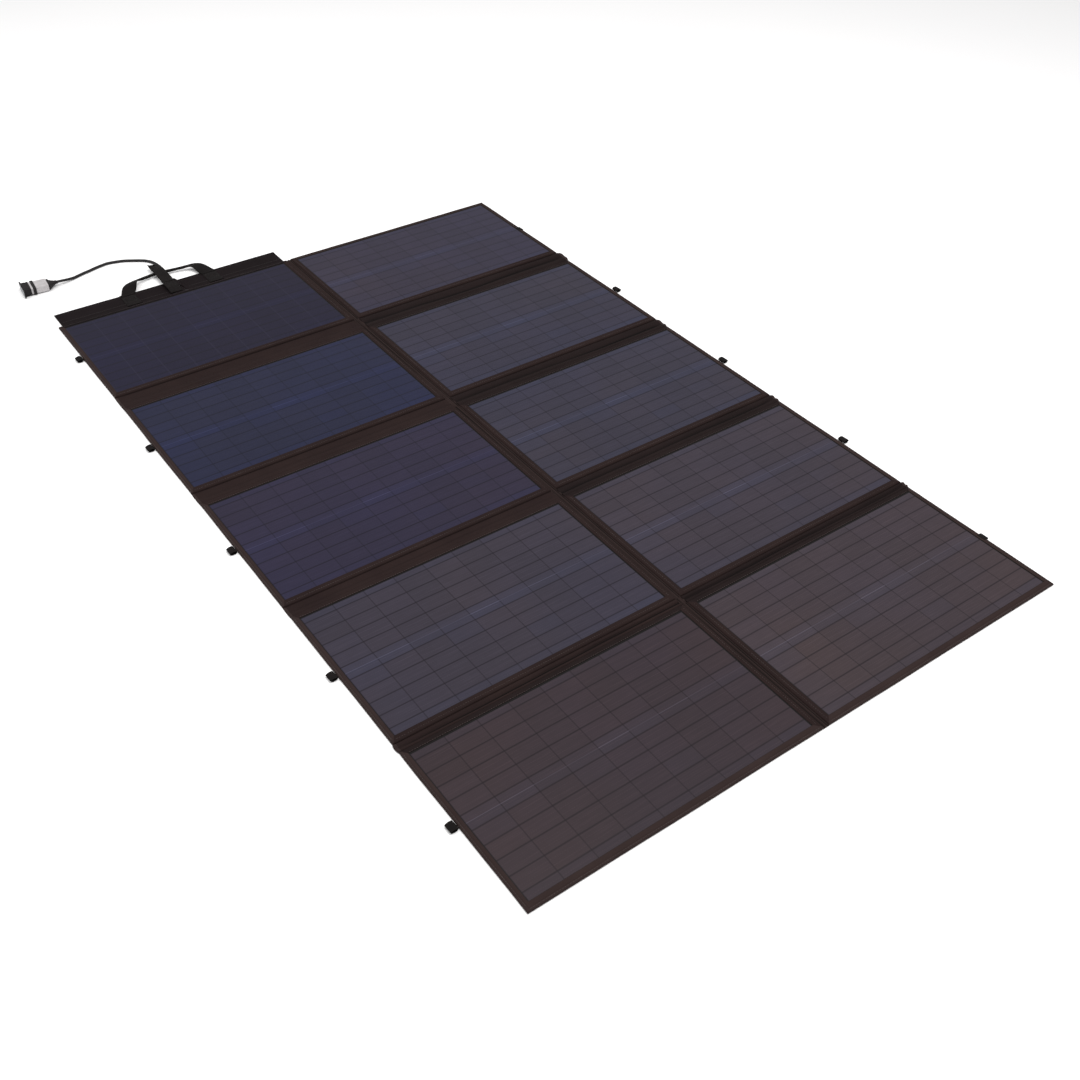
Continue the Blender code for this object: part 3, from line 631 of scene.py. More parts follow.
def add_boot(path):
    """Black strain relief: a collar, then a ribbed taper that bends to the lead."""
    start = connector_point(-0.0003)
    inward = (path[-1] - path[-2]).normalized()
    sections = connector_rings(((-0.3, 33.4, 12.4, 3.0), (-0.8, 34.0, 13.0, 3.0),
                                (-3.8, 34.0, 13.0, 3.0), (-4.3, 33.0, 12.2, 2.8)))
    shoulder = start - CONNECTOR_AXIS * 0.0040
    tip = path[-1] - inward * 0.004
    bends = (shoulder, shoulder - CONNECTOR_AXIS * 0.0045, tip + inward * 0.0045, tip)
    steps = 26
    for step in range(1, steps + 1):
        t = step / steps
        curve = bends
        while len(curve) > 2:
            curve = [a.lerp(b, t) for a, b in zip(curve, curve[1:])]
        narrow = 1.0 - (1.0 - t) ** 2
        width = 0.0330 + (0.0104 - 0.0330) * narrow
        height = 0.0122 + (0.0066 - 0.0122) * t
        if 4 < step < steps - 1 and step % 4 in (1, 2):
            width -= 0.0014
            height -= 0.0012
        sections.append(rounded_ring(curve[0].lerp(curve[1], t), (curve[0] - curve[1]).normalized(),
                                     width, height, min(0.0030, height / 2.0 - 0.0002)))
    boot = loft("lead_boot", sections, [BLACK], "root", smooth=50.0)
    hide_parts("cable_boot")
    return boot


def add_band():
    """Rubber band round the housing, which holds the dust cover's tether."""
    profile = ((29.0, 41.2, 18.4, 3.0), (29.5, 42.0, 19.0, 3.0), (35.5, 42.0, 19.0, 3.0),
               (36.0, 41.2, 18.4, 3.0), (36.0, 37.6, 16.6, 2.1), (29.0, 37.6, 16.6, 2.1))
    band = loft("tether_band", connector_rings(profile), [BLACK], "root", closed=True)
    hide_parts("cover_band")
    return band


def add_dust_cover():
    """Black cup with a wide plate across its front, whose face is grey."""
    profile = ((55.0, 37.6, 16.6, 2.1), (40.5, 37.6, 16.6, 2.1), (40.5, 39.8, 17.8, 2.8),
               (41.0, 40.6, 18.6, 3.0), (44.5, 40.6, 18.6, 3.0), (44.8, 39.6, 17.6, 2.8),
               (47.8, 39.6, 17.6, 2.8), (48.1, 40.6, 18.6, 3.0), (55.2, 40.6, 18.6, 3.0),
               (55.7, 43.0, 18.8, 3.4), (56.0, 55.0, 19.0, 4.0), (56.4, 56.0, 19.6, 4.2),
               (58.4, 56.0, 19.6, 4.2), (59.0, 55.2, 18.8, 4.0), (59.0, 53.6, 17.2, 3.6),
               (58.6, 53.0, 16.6, 3.4))
    slots = [1] * (len(profile) - 2) + [0]
    cover = loft("end_cap", connector_rings(profile), [COVER_GREY, BLACK], "dust_cover",
                 slots=slots)
    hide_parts("dust_cover")
    return cover


def add_tether():
    """Rubber strap under the connector, from the band to the dust cover."""
    stations = ((0.0300, -0.0090), (0.0345, -0.0094), (0.0370, -0.0094), (0.0395, -0.0094),
                (0.0420, -0.0094), (0.0470, -0.0090))
    left, right = ([connector_point(along, across, up) for along, up in stations]
                   for across in (0.0150, 0.0080))
    tether = ribbon("tether", left, right, 0.0010, [BLACK])
    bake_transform(tether)
    return tether


def add_housing_details():
    """Grip ribs on the housing's broad faces."""
    pieces = []
    for side, name in ((1.0, "top"), (-1.0, "under")):
        shell = Shell()
        for k in range(6):
            along = 0.0045 + 0.0031 * k
            half = 0.0120 - 0.0015 * abs(k - 2.5) / 2.5
            foot, crest = [
                shell.row([connector_point(along + a, b * (half - inset), side * level)
                           for a, b in ((start, -1), (start, 1), (end, 1), (end, -1))])
                for start, end, inset, level in ((0.0, 0.0016, 0.0, 0.0078),
                                                 (0.0004, 0.0012, 0.0006, 0.0086))]
            shell.bridge(foot, crest)
            shell.face(foot[::-1])
            shell.face(crest)
        rib = shell.make(f"grip_{name}", [GREY], "root", smooth=30.0)
        pieces.append(rib)
    return pieces


cable, cable_points = add_cable()
boot = add_boot(cable_points)
band = add_band()
end_cap = add_dust_cover()
tether = add_tether()
grips = add_housing_details()
for node, material in (("connector_housing", GREY), ("contact_pos", PLATING),
                       ("contact_neg", PLATING), ("junction_block", POTTING)):
    show_as(node, material)


# ---- panels

EDGE_WANDER = 0.0007         # how far a border's edge strays from a straight line
STITCH_INSET = 0.004
BORDER_STITCH_STEPS = 24

# How far inside a border's outer edge, and how high, its cloth runs, in millimetres. "bound"
# ends in a sewn binding, "fold" in a turned hem, and "soft" runs on into the fold strip.
BORDER_ENDS = {
    "bound": ((5.6, 4.38), (5.15, 4.02), (4.7, 4.02), (4.3, 4.36), (2.4, 4.46), (0.9, 3.75),
              (0.1, 2.4), (0.0, 1.1), (1.2, 0.0)),
    "fold": ((5.2, 4.36), (4.3, 4.30), (3.4, 4.22), (2.6, 4.08), (1.7, 3.72), (0.8, 3.0),
             (0.2, 1.9), (0.0, 1.0), (0.8, 0.0)),
    "soft": ((6.0, 4.30), (5.0, 4.18), (4.0, 3.98), (3.1, 3.72), (2.2, 3.40), (1.3, 3.02),
             (0.4, 2.60), (0.0, 1.4), (0.6, 0.0)),
}
BINDING_STATION = 9                # the profile's station where a bound side's binding begins
SIDE_STEPS = (30, 17, 30, 17)      # near, right, far, left
FAR_SIDE = 2
LIPS = (0.8, 1.3, 1.9, 1.3)        # the canvas lip's distance from the cells, in millimetres
OUTWARD = ((0, -1), (1, 0), (0, 1), (-1, 0))


def border_profile(kind, width, lip):
    """Height of the canvas frame against the distance from the cells, in millimetres."""
    w = width / MM
    inside = [(3.2, 0.85), (3.2, 3.55), (lip + 0.45, 3.74), (lip, 3.95), (lip + 0.2, 4.22),
              (lip + 1.5, 4.42), (max(lip + 2.0, 0.45 * w), 4.46)]
    return inside + [(w - back, height) for back, height in BORDER_ENDS[kind]]


def side_kinds(panel):
    """Border kind and width of a panel's near, right, far and left sides."""
    row = int(panel[1])
    x_low, x_high, y_low, y_high = CELLS[panel]
    near = ("bound" if row == ROWS else "fold", y_low - NEAR[row])
    far = ("bound" if row == 1 else "soft", FAR[row] - y_high)
    if panel == "L1":
        far = ("fold", FAR[row] - y_high)
    inner = ("fold", min(abs(x_low), abs(x_high)) - SLIT)
    outer = ("bound", OUTER_X - max(abs(x_low), abs(x_high)))
    return (near, inner, far, outer) if panel[0] == "L" else (near, outer, far, inner)


def frame_corners(panel, d):
    """Corners of a frame round the cells, d metres out on the near, right, far and left."""
    x_low, x_high, y_low, y_high = CELLS[panel]
    return ((x_low - d[3], y_low - d[0]), (x_high + d[1], y_low - d[0]),
            (x_high + d[1], y_high + d[2]), (x_low - d[3], y_high + d[2]))


def border_share(distance):
    """How much of the border's unevenness shows this many millimetres from the cells."""
    return smooth_step((distance - 2.0) / 8.0)


def side_slot(panel, side, kind):
    """Material slot of a side's cloth."""
    if kind == "bound":
        return 1
    if side == FAR_SIDE and panel == "L1":
        return 3
    # Slot 4 is the strip cloth darkened as painted shade.
    return 4 if side == FAR_SIDE and (panel[0] == "R" or panel == "L5") else 2


def add_cover(panel, seed):
    """Canvas tray round a panel: floor, turned lip, crown and edge."""
    sides = side_kinds(panel)
    profiles = [border_profile(kind, width, lip) for (kind, width), lip in zip(sides, LIPS)]
    stations = len(profiles[0])
    shell = Shell()
    rings = []
    for k in range(stations):
        d = [profile[k][0] * MM for profile in profiles]
        z = [profile[k][1] * MM for profile in profiles]
        corners = frame_corners(panel, d)
        ring = []
        for side, steps in enumerate(SIDE_STEPS):
            (ax, ay), (bx, by) = corners[side], corners[(side + 1) % 4]
            share = border_share(d[side] / MM)
            for step in range(steps):
                t = step / steps
                x, y = ax + (bx - ax) * t, ay + (by - ay) * t
                height = z[side] if step else (z[side] + z[side - 1]) / 2.0
                away = min(1.0, min(step, steps - step) / 2.0)
                push = EDGE_WANDER * share * away * wave(x, y, 9.0, seed + side)
                if 2 < k < stations - 2:
                    height += 0.00016 * wave(x, y, 24.0, seed + 5) * share
                ring.append((x + OUTWARD[side][0] * push, y + OUTWARD[side][1] * push, height))
        rings.append(shell.row(ring))
    slots = [side_slot(panel, side, kind) for side, (kind, _) in enumerate(sides)
             for _ in range(SIDE_STEPS[side])]
    for k in range(stations - 1):
        shell.bridge(rings[k], rings[k + 1])
        shell.slots[-len(slots):] = [slot if slot >= 2 or k >= BINDING_STATION else 0
                                     for slot in slots]
    shell.face(rings[0][::-1])
    shell.face(rings[-1])
    cloths = [CANVAS, BINDING, STRIP, FLAP_CANVAS, SHADED_STRIP_CLOTH]
    cover = shell.make(f"cover_{panel}", cloths, panel_body(panel), smooth=42.0)
    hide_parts(f"canvas_{panel}")


def add_border_sewing(panel, seed):
    """One line of stitches along each side of a panel's border."""
    shell = Shell()
    for side, ((kind, width), lip) in enumerate(zip(side_kinds(panel), LIPS)):
        line = {"bound": width / MM - 3.3, "fold": width / MM - 6.0, "soft": 3.4}[kind]
        z = sample(border_profile(kind, width, lip)[3:-1], line) * MM
        corners = frame_corners(panel, [line * MM] * 4)
        (ax, ay), (bx, by) = corners[side], corners[(side + 1) % 4]
        length = math.hypot(bx - ax, by - ay)
        points = []
        for step in range(BORDER_STITCH_STEPS + 1):
            along = STITCH_INSET + (length - 2 * STITCH_INSET) * step / BORDER_STITCH_STEPS
            x, y = ax + (bx - ax) / length * along, ay + (by - ay) / length * along
            push = EDGE_WANDER * border_share(line) * wave(x, y, 9.0, seed + side)
            points.append((x + OUTWARD[side][0] * push, y + OUTWARD[side][1] * push, z))
        stitch_line(shell, points)
    thread = shell.make(f"stitches_{panel}", [THREAD], panel_body(panel), smooth=0)


def add_face(panel, seed):
    """The laminate: cells behind a matt film, very slightly uneven."""
    x_low, x_high, y_low, y_high = CELLS[panel]
    wide, deep, m = x_high - x_low, y_high - y_low, LAMINATE_MARGIN
    cell_wide, cell_deep = wide / CELLS_ACROSS, deep / CELLS_ALONG
    columns, rows = 36, 22
    shell = Shell()

    def layer(z, bow):
        lines = []
        for j in range(rows + 1):
            y = y_low - m + (deep + 2 * m) * j / rows
            line, uvs = [], []
            for i in range(columns + 1):
                x = x_low - m + (wide + 2 * m) * i / columns
                inside = 0 < i < columns and 0 < j < rows
                line.append((x, y, z + (bow * wave(x, y, 5.0, seed) if inside else 0.0)))
                uvs.append(((x - x_low) / cell_wide, (y - y_low) / cell_deep))
            lines.append(shell.row(line, uvs))
        return lines

    shell.slab(layer(FACE_TOP, 0.00010), layer(FACE_TOP - 0.0010, 0.0))
    face = shell.make(f"face_{panel}", [cell_material(f"cells_{panel}", *cell_colours(panel))],
                      panel_body(panel), smooth=30.0)
    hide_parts(f"laminate_{panel}")
    show_as(f"board_{panel}", BOARD)


# How far each loop sits from the middle of its CAD stand-in along the edge, and how far inside
# the edge the middle of a tucked loop lies (the others stand out by LOOP_REACH).
LOOP_SHIFT = {"L2": -0.005, "L4": -0.006, "L5": -0.006, "R4": 0.005}
LOOP_TUCK = {"R1": -0.0048, "R5": -0.0022}
LOOP_REACH = 0.0085
LOOP_WALL = 0.0013


def add_loop(panel):
    """Tie loop: a ring of webbing at the panel's outer edge."""
    low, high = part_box(f"tie_loop_{panel}")
    sign = -1.0 if panel[0] == "L" else 1.0
    width = (high.y - low.y) * 0.68
    middle = (low.y + high.y) / 2.0 + LOOP_SHIFT.get(panel, 0.0)
    centre_x = sign * OUTER_X + sign * LOOP_TUCK.get(panel, LOOP_REACH)
    level, squeeze = (0.0028, 0.62) if panel in LOOP_TUCK else (0.0040, 1.0)
    around, across = 28, 6
    shell = Shell()
    rings = []
    for k in range(across + 1):
        t = k / across
        y = middle + width * (t - 0.5)
        outer, inner = [], []
        for step in range(around):
            angle = math.tau * step / around
            reach = 0.0070 + 0.0006 * math.sin(3.0 * angle + 2.0 * t)
            rise = (0.0038 + 0.0003 * math.cos(2.0 * angle + t)) * squeeze
            for ring, wall, floor in ((outer, 0.0, 0.0001), (inner, LOOP_WALL, 0.0013)):
                x = centre_x + sign * (reach - wall) * math.cos(angle)
                ring.append((x, y, max(floor, level + (rise - wall) * math.sin(angle))))
        uvs = [(width * (t - 0.5), 0.045 * s / around) for s in range(around)]
        rings.append((shell.row(outer, uvs), shell.row(inner, uvs)))
    for (outer, inner), (next_outer, next_inner) in zip(rings, rings[1:]):
        shell.bridge(outer, next_outer)
        shell.bridge(inner, next_inner)
    for outer, inner in (rings[0], rings[-1]):
        shell.bridge(outer, inner)
    loop = shell.make(f"loop_{panel}", [WEBBING], panel_body(panel), smooth=50.0)
    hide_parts(f"tie_loop_{panel}")


for number, panel in enumerate(PANELS, start=1):
    add_cover(panel, number)
    add_border_sewing(panel, number)
    add_face(panel, number)
    add_loop(panel)


# ---- fold strips

CREASE_TUCK = 0.0012
STRIP_UNDER = 0.0001
STRIP_BOUND = 0.0075         # the last part of a strip, which runs into its bound end

# Depth in millimetres of the valley that each strip's cloth falls into between its creases,
# and how high its cloth stands at the outer end, where the binding arches.
VALLEYS = {"L1": 0.3, "L2": 0.7, "L3": 0.5, "L4": 2.6, "R1": 2.2, "R2": 2.6, "R3": 2.6, "R4": 2.8}
ENDS = {"L1": 0.5, "L2": 0.5, "L3": 0.5, "L4": 1.6, "R1": 4.2, "R2": 2.0, "R3": 2.2, "R4": 2.2}

# Added height in millimetres along the bound end, from its start at 0 to the edge at 1.
BOUND_EDGE = ((0.0, 0.0), (0.24, 0.1), (0.33, -0.35), (0.42, -0.3), (0.5, 0.25), (0.7, 0.35),
              (0.88, 0.1), (0.97, -0.5), (1.0, -0.9))

# Distance from the column fold and height of the cloth over it, in millimetres.
FOLD_PROFILE = ((-6.4, 1.6), (-5.4, 1.5), (-4.6, 1.1), (-3.4, 0.8), (-2.2, 1.0), (-1.2, 2.1),
                (-0.5, 2.7), (0.0, 2.8), (0.5, 2.7), (1.2, 2.1), (2.2, 1.0), (3.4, 0.8),
                (4.6, 1.1), (5.4, 1.5), (6.4, 1.6))


def strip_top(v, x, name, seed):
    """Height of a strip's top and how deep in shade it lies; v is 0 at the next row's border
    and 1 at this row's."""
    depth = VALLEYS[name]
    slack = min(1.0, depth / 2.4)
    height = 1.25 + 2.0 * (1.0 - smooth_step(v / 0.60))
    height += 1.9 * slack * bell(v, 0.72, 0.17) + 0.9 * slack * bell(v, 0.16, 0.12)
    middle = 0.42 + 0.13 * wave(x, 1.0, 4.0, seed) + 0.04 * wave(x, 2.0, 17.0, seed)
    fade = 0.55 + 0.45 * smooth_step(0.5 + 1.2 * wave(x, 3.0, 3.5, seed + 1))
    height -= depth * fade * bell(v, middle, 0.105)
    shade = 0.95 * slack * fade * bell(v, middle, 0.085)
    # creases that run along the strip and wander across it
    for k in range(3):
        line = 0.20 + 0.30 * k + 0.16 * wave(x, 5.0 + k, 5.0, seed + 7 + k)
        gain = smooth_step(0.2 + 2.0 * wave(x, 9.0 + k, 6.0, seed + 11 + k))
        height += 0.42 * gain * bell(v, line, 0.045)
    height += 0.22 * wave(x, v * 0.10, 60.0, seed + 4)
    if v > 0.90:
        height += (0.95 - height) * smooth_step((v - 0.90) / 0.10)
    if v < 0.06:
        height += (2.7 - height) * (1.0 - smooth_step(v / 0.06))
    shade = max(shade, 0.8 * smooth_step((v - 0.90) / 0.05))
    return max(0.75, height) * MM, min(1.0, shade)


def add_strip(column, row):
    """Canvas between two rows: thin and creased at both ends, rising to the next row."""
    name = f"{column}{row}"
    seed = row * 2 + (1 if column == "R" else 0) + 20
    y_low, y_high = FAR[row + 1] - CREASE_TUCK, NEAR[row] + CREASE_TUCK
    sign = -1.0 if column == "L" else 1.0
    bound_from = OUTER_X - STRIP_BOUND
    steps, across = 130, 30
    xs = [SLIT + (bound_from - SLIT) * i / steps for i in range(steps + 1)]
    xs += [OUTER_X - back * MM for back in (7.0, 5.6, 5.0, 4.2, 2.5, 1.0, 0.2, 0.0)]
    shell = Shell()
    tops, lows = [], []
    for x in xs:
        top, low, shades = [], [], []
        bound = max(0.0, (x - bound_from) / STRIP_BOUND)
        for j in range(across + 1):
            v = j / across
            y = y_low + (y_high - y_low) * v
            arch = ENDS[name] * MM * max(0.0, math.sin(math.pi * v)) ** 0.8
            outer_x = sign * (x + 1.2 * arch * bound)
            z, shade = strip_top(v, x, name, seed)
            z += arch * bell(x, OUTER_X, 0.020)
            shades.append(shade * min(1.0, (OUTER_X - x) / 0.030))
            if bound > 0.0:
                z = max(0.00045, z + sample(BOUND_EDGE, bound) * MM)
            top.append((outer_x, y, z))
            low.append((outer_x, y, STRIP_UNDER))
        tops.append(shell.row(top))
        shell.shades.update(zip(tops[-1], shades))
        lows.append(shell.row(low))
    shell.slab(tops, lows, [1 if i >= steps + 3 else 0 for i in range(len(xs) - 1)])
    # The right column's strips take the strip cloth darkened as painted shade.
    cloth = STRIP if column == "L" else SHADED_STRIP_CLOTH
    strip = shell.make(f"strip_cloth_{name}", [cloth, BINDING], f"strip_{name}", smooth=60.0)
    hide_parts(f"gap_{name}")
    if column == "L":
        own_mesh(strip)
    else:
        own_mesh(strip)


def fold_cloth(name, y_low, y_high, seed):
    """Cloth over the fold between the columns: a valley with a low ridge down its middle, and
    shade that comes and goes along the valley."""
    steps = max(4, int((y_high - y_low) / 0.012))
    shell = Shell()
    tops, lows = [], []
    for j in range(steps + 1):
        y = y_low + (y_high - y_low) * j / steps
        shift = 0.35 * wave(0.0, y, 16.0, seed)
        top, shades = [], []
        for x, z in FOLD_PROFILE:
            top.append(((x + shift * bell(x, 0.0, 3.0)) * MM, y,
                        (z + 0.12 * wave(x * MM, y, 40.0, seed)) * MM))
            patchy = 1.0 + 1.8 * wave(math.copysign(0.2, x), y, 3.0, seed + 9)
            shades.append(min(0.85, max(0.0, 2.4 * (1.2 - z) * patchy)))
        tops.append(shell.row(top))
        shell.shades.update(zip(tops[-1], shades))
        lows.append(shell.row([(x * MM, y, STRIP_UNDER) for x, _ in FOLD_PROFILE]))
    shell.slab(tops, lows)
    cloth = shell.make(name, [FOLD_CANVAS], smooth=60.0)
    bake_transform(cloth)


for row in range(1, ROWS + 1):
    fold_cloth(f"fold_row_{row}", NEAR[row], FAR[row],
               row + 40)
    if row < ROWS:
        add_strip("L", row)
        add_strip("R", row)
        fold_cloth(f"fold_gap_{row}", FAR[row + 1], NEAR[row],
                   row + 50)


# ---- hem, flap, handle and strap

HEM_X = (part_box("flap")[0].x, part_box("flap")[1].x)
FLAP_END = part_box("flap")[1].y
LEAD_X = CABLE_ROUTE[0][0]
WINDOW_HALF = 0.0170         # half the width of the flap's opening over the lead
SLEEVE_HALF = 0.0169
SLEEVE_LENGTH = 0.0235


def bump_height(x):
    """The flap's bulge over the lead."""
    away = abs(x - LEAD_X)
    return 0.0067 * (1.0 - smooth_step((away - 0.0085) / 0.0095))


def flap_height(x, y):
    """Top of the flap's cloth: wrinkles, a fold beside the panel, and its sewn end hem."""
    past = (y - FE) / MM
    z = 0.0013 + bump_height(x)
    z += 0.00045 * wave(x, y, 14.0, 71) + 0.00025 * wave(x, y, 38.0, 72)
    z += 0.0009 * bell(past, 2.0, 3.0) + 0.0005 * bell(past, 56.5, 2.6)
    return max(0.0009, z - 0.0004 * bell(past, 51.5, 1.2))


def add_flap():
    """Hem and closing flap in one cloth, open under the strap where the lead passes."""
    window = (LEAD_X - WINDOW_HALF, LEAD_X + WINDOW_HALF)
    xs = []
    x = HEM_X[0]
    while x < HEM_X[1] - 0.0005:
        xs.append(x)
        x += 0.0022 if abs(x - LEAD_X) < 0.024 else 0.0080
    xs.append(HEM_X[1])
    for edge in window:
        xs = [v for v in xs if abs(v - edge) > 0.0009] + [edge]
    xs.sort()
    ys = [FE - 0.0015 + 0.0015 * k for k in range(17)]
    window_end = ys[-1]
    while ys[-1] < FLAP_END - 0.004:
        ys.append(ys[-1] + 0.0030)
    ys[-1] = FLAP_END
    shell = Shell()
    grid = {}

    def vertex(i, j, level):
        key = (i, j, level)
        if key not in grid:
            x, y = xs[i], ys[j]
            edge_x = 0.0006 * wave(0.0, y, 30.0, 73) if i in (0, len(xs) - 1) else 0.0
            edge_y = 0.0009 * wave(x, 0.0, 11.0, 74) if j == len(ys) - 1 else 0.0
            z = flap_height(x, y)
            if level == 0:
                z = max(0.0001, z - 0.0011) if bump_height(x) >= 0.0001 else 0.0001
            grid[key] = shell.add((x + edge_x, y + edge_y, z))
        return grid[key]

    def is_cloth(i, j):
        if not (0 <= i < len(xs) - 1 and 0 <= j < len(ys) - 1):
            return False
        in_window = window[0] < (xs[i] + xs[i + 1]) / 2.0 < window[1]
        return not (in_window and ys[j + 1] <= window_end + 1e-6)

    for i in range(len(xs) - 1):
        for j in range(len(ys) - 1):
            if not is_cloth(i, j):
                continue
            for level in (0, 1):
                shell.face([vertex(i + a, j + b, level)
                            for a, b in ((0, 0), (1, 0), (1, 1), (0, 1))])
            for di, dj, a, b in ((-1, 0, (0, 0), (0, 1)), (1, 0, (1, 0), (1, 1)),
                                 (0, -1, (0, 0), (1, 0)), (0, 1, (0, 1), (1, 1))):
                if not is_cloth(i + di, j + dj):
                    shell.face([vertex(i + p, j + q, level)
                                for (p, q), level in ((a, 0), (b, 0), (b, 1), (a, 1))])
    flap = shell.make("flap_cloth", [FLAP_CANVAS], smooth=60.0)
    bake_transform(flap)
    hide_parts("flap")


def add_sleeve():
    """Cloth sleeve that covers the lead from the panel's border to the flap's bulge."""
    lengthwise, across = 13, 20
    sections = []
    for k in range(lengthwise + 1):
        t = k / lengthwise
        y = FE - 0.0010 + SLEEVE_LENGTH * t
        outer = []
        for i in range(across + 1):
            x = LEAD_X + SLEEVE_HALF * (2.0 * i / across - 1.0)
            arch = 1.0 - smooth_step((abs(x - LEAD_X) - 0.0070) / 0.0090)
            outer.append((x, y, 0.0010 + (0.0038 + 0.0015 * t) * arch
                          + 0.0002 * wave(x, y, 60.0, 75)))
        inner = [(x, y, max(0.0001, z - 0.0009)) for x, y, z in outer]
        sections.append(outer + inner[::-1])
    sleeve = loft("lead_sleeve", sections, [FLAP_CANVAS], "root", smooth=60.0)


# The handle's outer and inner edge, as x and distance past panel L1's far edge, then the height
# of each edge and the thickness, in millimetres: left foot, shoulder, folded bar, right foot.
HANDLE_STATIONS = (
    (-415, 50, -380, 50, 3.1, 3.1, 1.4), (-411, 56, -376.5, 56, 3.8, 3.6, 1.4),
    (-406.5, 63, -371.5, 61, 6, 5.6, 1.4), (-402, 71, -367, 67, 9, 9.4, 1.4),
    (-395, 80, -362.5, 74.5, 11, 13.4, 1.5), (-383, 89.5, -358.5, 82.5, 10.6, 14.2, 1.9),
    (-367, 97, -353.5, 89.5, 8.8, 12, 3.0), (-350, 101.5, -346, 94.5, 7.4, 9, 4.2),
    (-331, 106, -329, 99, 6.9, 7, 4.6), (-310, 109, -310, 102, 7, 7, 4.6),
    (-290, 109.4, -290, 102.4, 7, 7, 4.6), (-270, 107.4, -270, 100.4, 7, 7, 4.6),
    (-250, 104.2, -251, 97.4, 7.4, 7.8, 4.4), (-236, 101.4, -238, 93.8, 8.6, 8.6, 3.9),
    (-222.5, 99.4, -228.5, 89.8, 10, 10.6, 2.8), (-208.5, 97.4, -222, 84, 11, 12, 1.8),
    (-196, 92.5, -219, 77.5, 10.6, 11.6, 1.5), (-187.5, 84.5, -217, 69.5, 9, 9.6, 1.4),
    (-181.5, 74, -215, 62.5, 6.4, 6.4, 1.4), (-177, 63, -212, 56.5, 4.2, 4.2, 1.4),
    (-174, 56, -209.5, 53, 3.4, 3.4, 1.4), (-173, 50, -208, 50, 3.1, 3.1, 1.4))
FEET_X = ((-0.4150, -0.3800), (-0.2080, -0.1730))
FOOT_END = 0.0585
STRAP_X = (-0.3085, -0.2795)
STRAP_THICK = 0.0015
SEWN_START = 0.0008
SEWN_END = 0.0590
# Distance past the far edge and height of the strap: its sewn base, then its loose part.
STRAP_BASE = ((0.0008, 0.0054), (0.006, 0.0066), (0.014, 0.0080), (0.022, 0.0090))
STRAP_STATIONS = ((0.0500, 0.0102), (0.0560, 0.0103), (0.0613, 0.0104), (0.0700, 0.0110),
                  (0.0830, 0.0121), (0.0960, 0.0126), (0.1060, 0.0127), (0.1160, 0.0124),
                  (0.1240, 0.0117), (0.1310, 0.0110), (0.1370, 0.0106), (0.1415, 0.0106),
                  (0.1450, 0.0110))


def sewn_stations(end, count=24):
    """Distances past the far edge of a webbing that is sewn from the border to its end."""
    return [SEWN_START + (end - SEWN_START) * k / count for k in range(count + 1)]


def add_handle():
    """Carry handle: a sewn foot at each side, shoulders that fold over, and a narrow bar."""
    left, right, thick = [], [], []
    for x1, y1, x2, y2, z1, z2, t in spline(HANDLE_STATIONS, 96):
        left.append((x1 * MM, FE + y1 * MM, z1 * MM))
        right.append((x2 * MM, FE + y2 * MM, z2 * MM))
        thick.append(t * MM)
    handle = ribbon("handle_webbing", left, right, thick, [WEBBING])
    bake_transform(handle)
    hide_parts("handle")
    for name, edges in zip(("left", "right"), FEET_X):
        sides = ([], [])
        for past in sewn_stations(FOOT_END):
            lap = 0.0008 + 0.0016 * (1.0 - smooth_step(past / 0.004))
            for side, x in zip(sides, edges):
                side.append((x, FE + past, flap_height(x, FE + past) + lap))
        foot = ribbon(f"handle_foot_{name}", *sides, 0.0014, [WEBBING])
        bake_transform(foot)


def add_strap():
    """Closing strap: sewn on the flap over the lead, then over the handle's bar to a cut end."""
    levels = [(FE + past, sample(STRAP_BASE, past)) for past in sewn_stations(SEWN_END)]
    left, right = ([(x, y, z) for y, z in levels] for x in STRAP_X)
    base = ribbon("strap_base", left, right, STRAP_THICK, [WEBBING])
    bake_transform(base)
    left, right = [], []
    for past, z in spline(STRAP_STATIONS, 40):
        t = smooth_step((past - 0.118) / 0.030)
        left.append((STRAP_X[0] + 0.0012 * t, FE + past + 0.0022 * t, z + 0.0026 * t))
        right.append((STRAP_X[1] - 0.0040 * t, FE + past - 0.0022 * t, z - 0.0008 * t))
    strap = ribbon("strap_webbing", left, right, STRAP_THICK, [WEBBING], notch=0.0075)
    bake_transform(strap)
    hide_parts("strap")


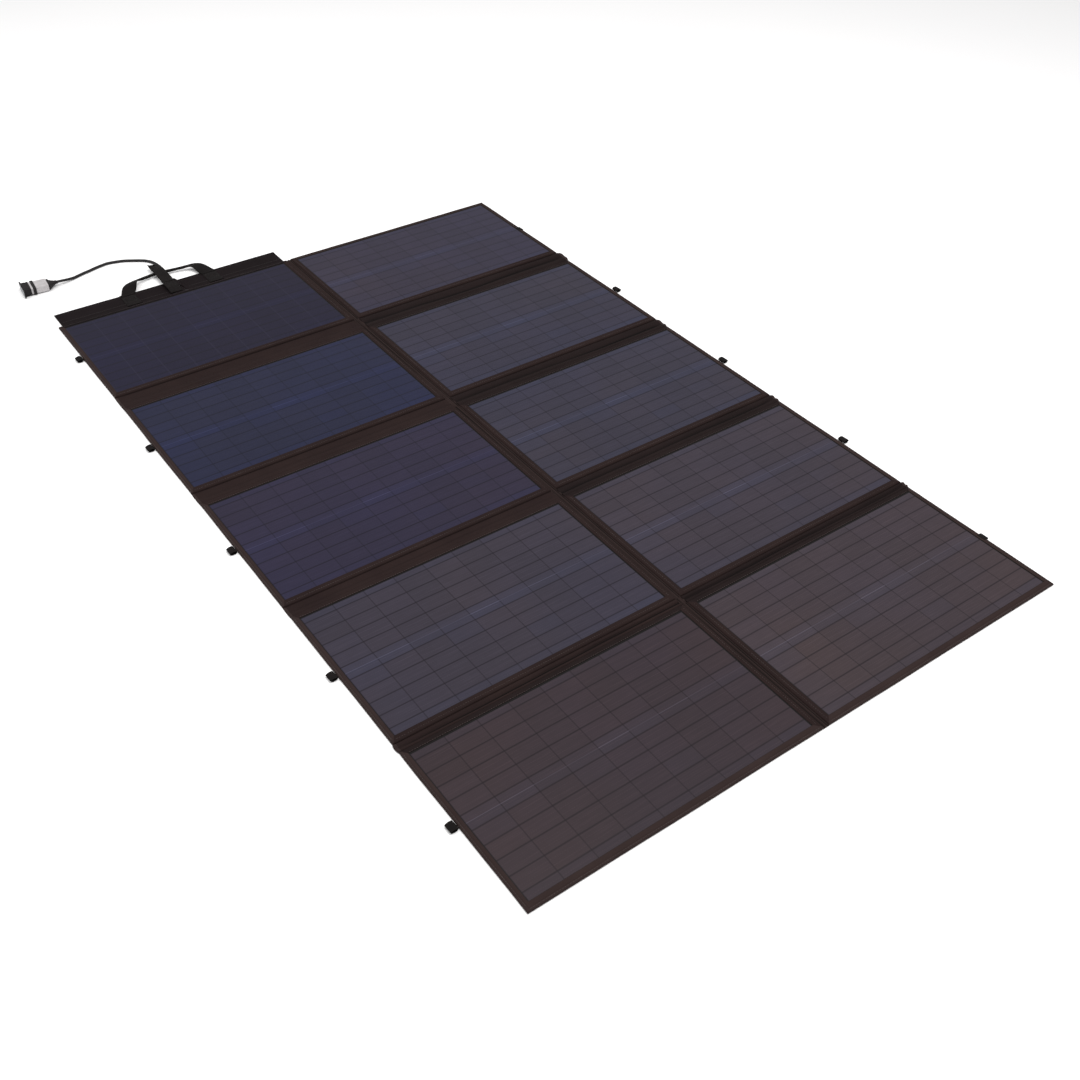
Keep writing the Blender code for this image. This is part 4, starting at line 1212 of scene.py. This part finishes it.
def add_flap_sewing():
    """Thread on the flap: two long seams, and a crossed box at each foot and at the strap."""
    shell = Shell()

    def line(points):
        stitch_line(shell, points, height=0.0005)

    def crossed_box(edges, near, far, height):
        """A sewn rectangle with both of its diagonals."""
        a, b, c, d = edges[0] + 0.0035, edges[1] - 0.0035, FE + near, FE + far
        corners = ((a, c), (b, c), (b, d), (a, d))
        for p, q in ((0, 1), (1, 2), (2, 3), (3, 0), (0, 2), (1, 3)):
            (px, py), (qx, qy) = corners[p], corners[q]
            places = [(px + (qx - px) * k / 6, py + (qy - py) * k / 6) for k in range(7)]
            line([(x, y, height(x, y)) for x, y in places])

    for past in (0.0170, 0.0518):
        points = []
        for k in range(60):
            x = HEM_X[0] + 0.004 + (HEM_X[1] - HEM_X[0] - 0.008) * k / 59
            if abs(x - LEAD_X) > 0.019 or past > 0.03:
                points.append((x, FE + past, flap_height(x, FE + past) + 0.0001))
            elif points:
                line(points)
                points = []
        line(points)
    for edges in FEET_X:
        crossed_box(edges, 0.0190, 0.0460, lambda x, y: flap_height(x, y) + 0.0015)
    crossed_box(STRAP_X, 0.0265, 0.0490, lambda x, y: 0.0097)
    thread = shell.make("flap_stitches", [DARK_THREAD], "flap", smooth=0)


add_flap()
add_sleeve()
add_handle()
add_strap()
add_flap_sewing()


# ---- floor and light

def add_stage():
    """Pale floor and soft studio light."""
    mesh = bpy.data.meshes.new("floor")
    size = 9.0
    mesh.from_pydata([(-size, -size, 0.0), (size, -size, 0.0), (size, size, 0.0),
                      (-size, size, 0.0)], [], [(0, 1, 2, 3)])
    floor = bpy.data.objects.new("floor", mesh)
    bpy.context.collection.objects.link(floor)
    floor.location = (0.0, 0.0, -0.0004)
    n = Nodes("floor_paper", 0.9, 0.1)
    n.colour(n.mix(n.noise(n.position(), 1.2, 2.0), linear(250, 250, 250), linear(247, 247, 248)))
    mesh.materials.append(n.material)

    def area(name, place, target, size, energy, colour):
        data = bpy.data.lights.new(name, "AREA")
        data.shape = "RECTANGLE"
        data.size = data.size_y = size
        data.energy = energy
        data.color = colour
        light = bpy.data.objects.new(name, data)
        bpy.context.collection.objects.link(light)
        light.location = place
        light.rotation_euler = (Vector(target) - Vector(place)).to_track_quat("-Z", "Y").to_euler()

    area("key", (0.5, -0.9, 3.8), (0.0, -0.2, 0.0), 3.2, 135.0, (1.0, 0.98, 0.97))
    area("fill", (-2.2, 1.8, 2.6), (0.0, 0.2, 0.0), 2.4, 40.0, (1.0, 0.99, 0.98))
    world = bpy.data.worlds.new("studio")
    world.use_nodes = True
    back = world.node_tree.nodes["Background"]
    back.inputs["Color"].default_value = (1.0, 1.0, 1.0, 1.0)
    back.inputs["Strength"].default_value = 0.62
    bpy.context.scene.world = world
    view = bpy.context.scene.view_settings
    view.view_transform = "Standard"
    view.look = "None"
    view.exposure = 0.0


add_stage()
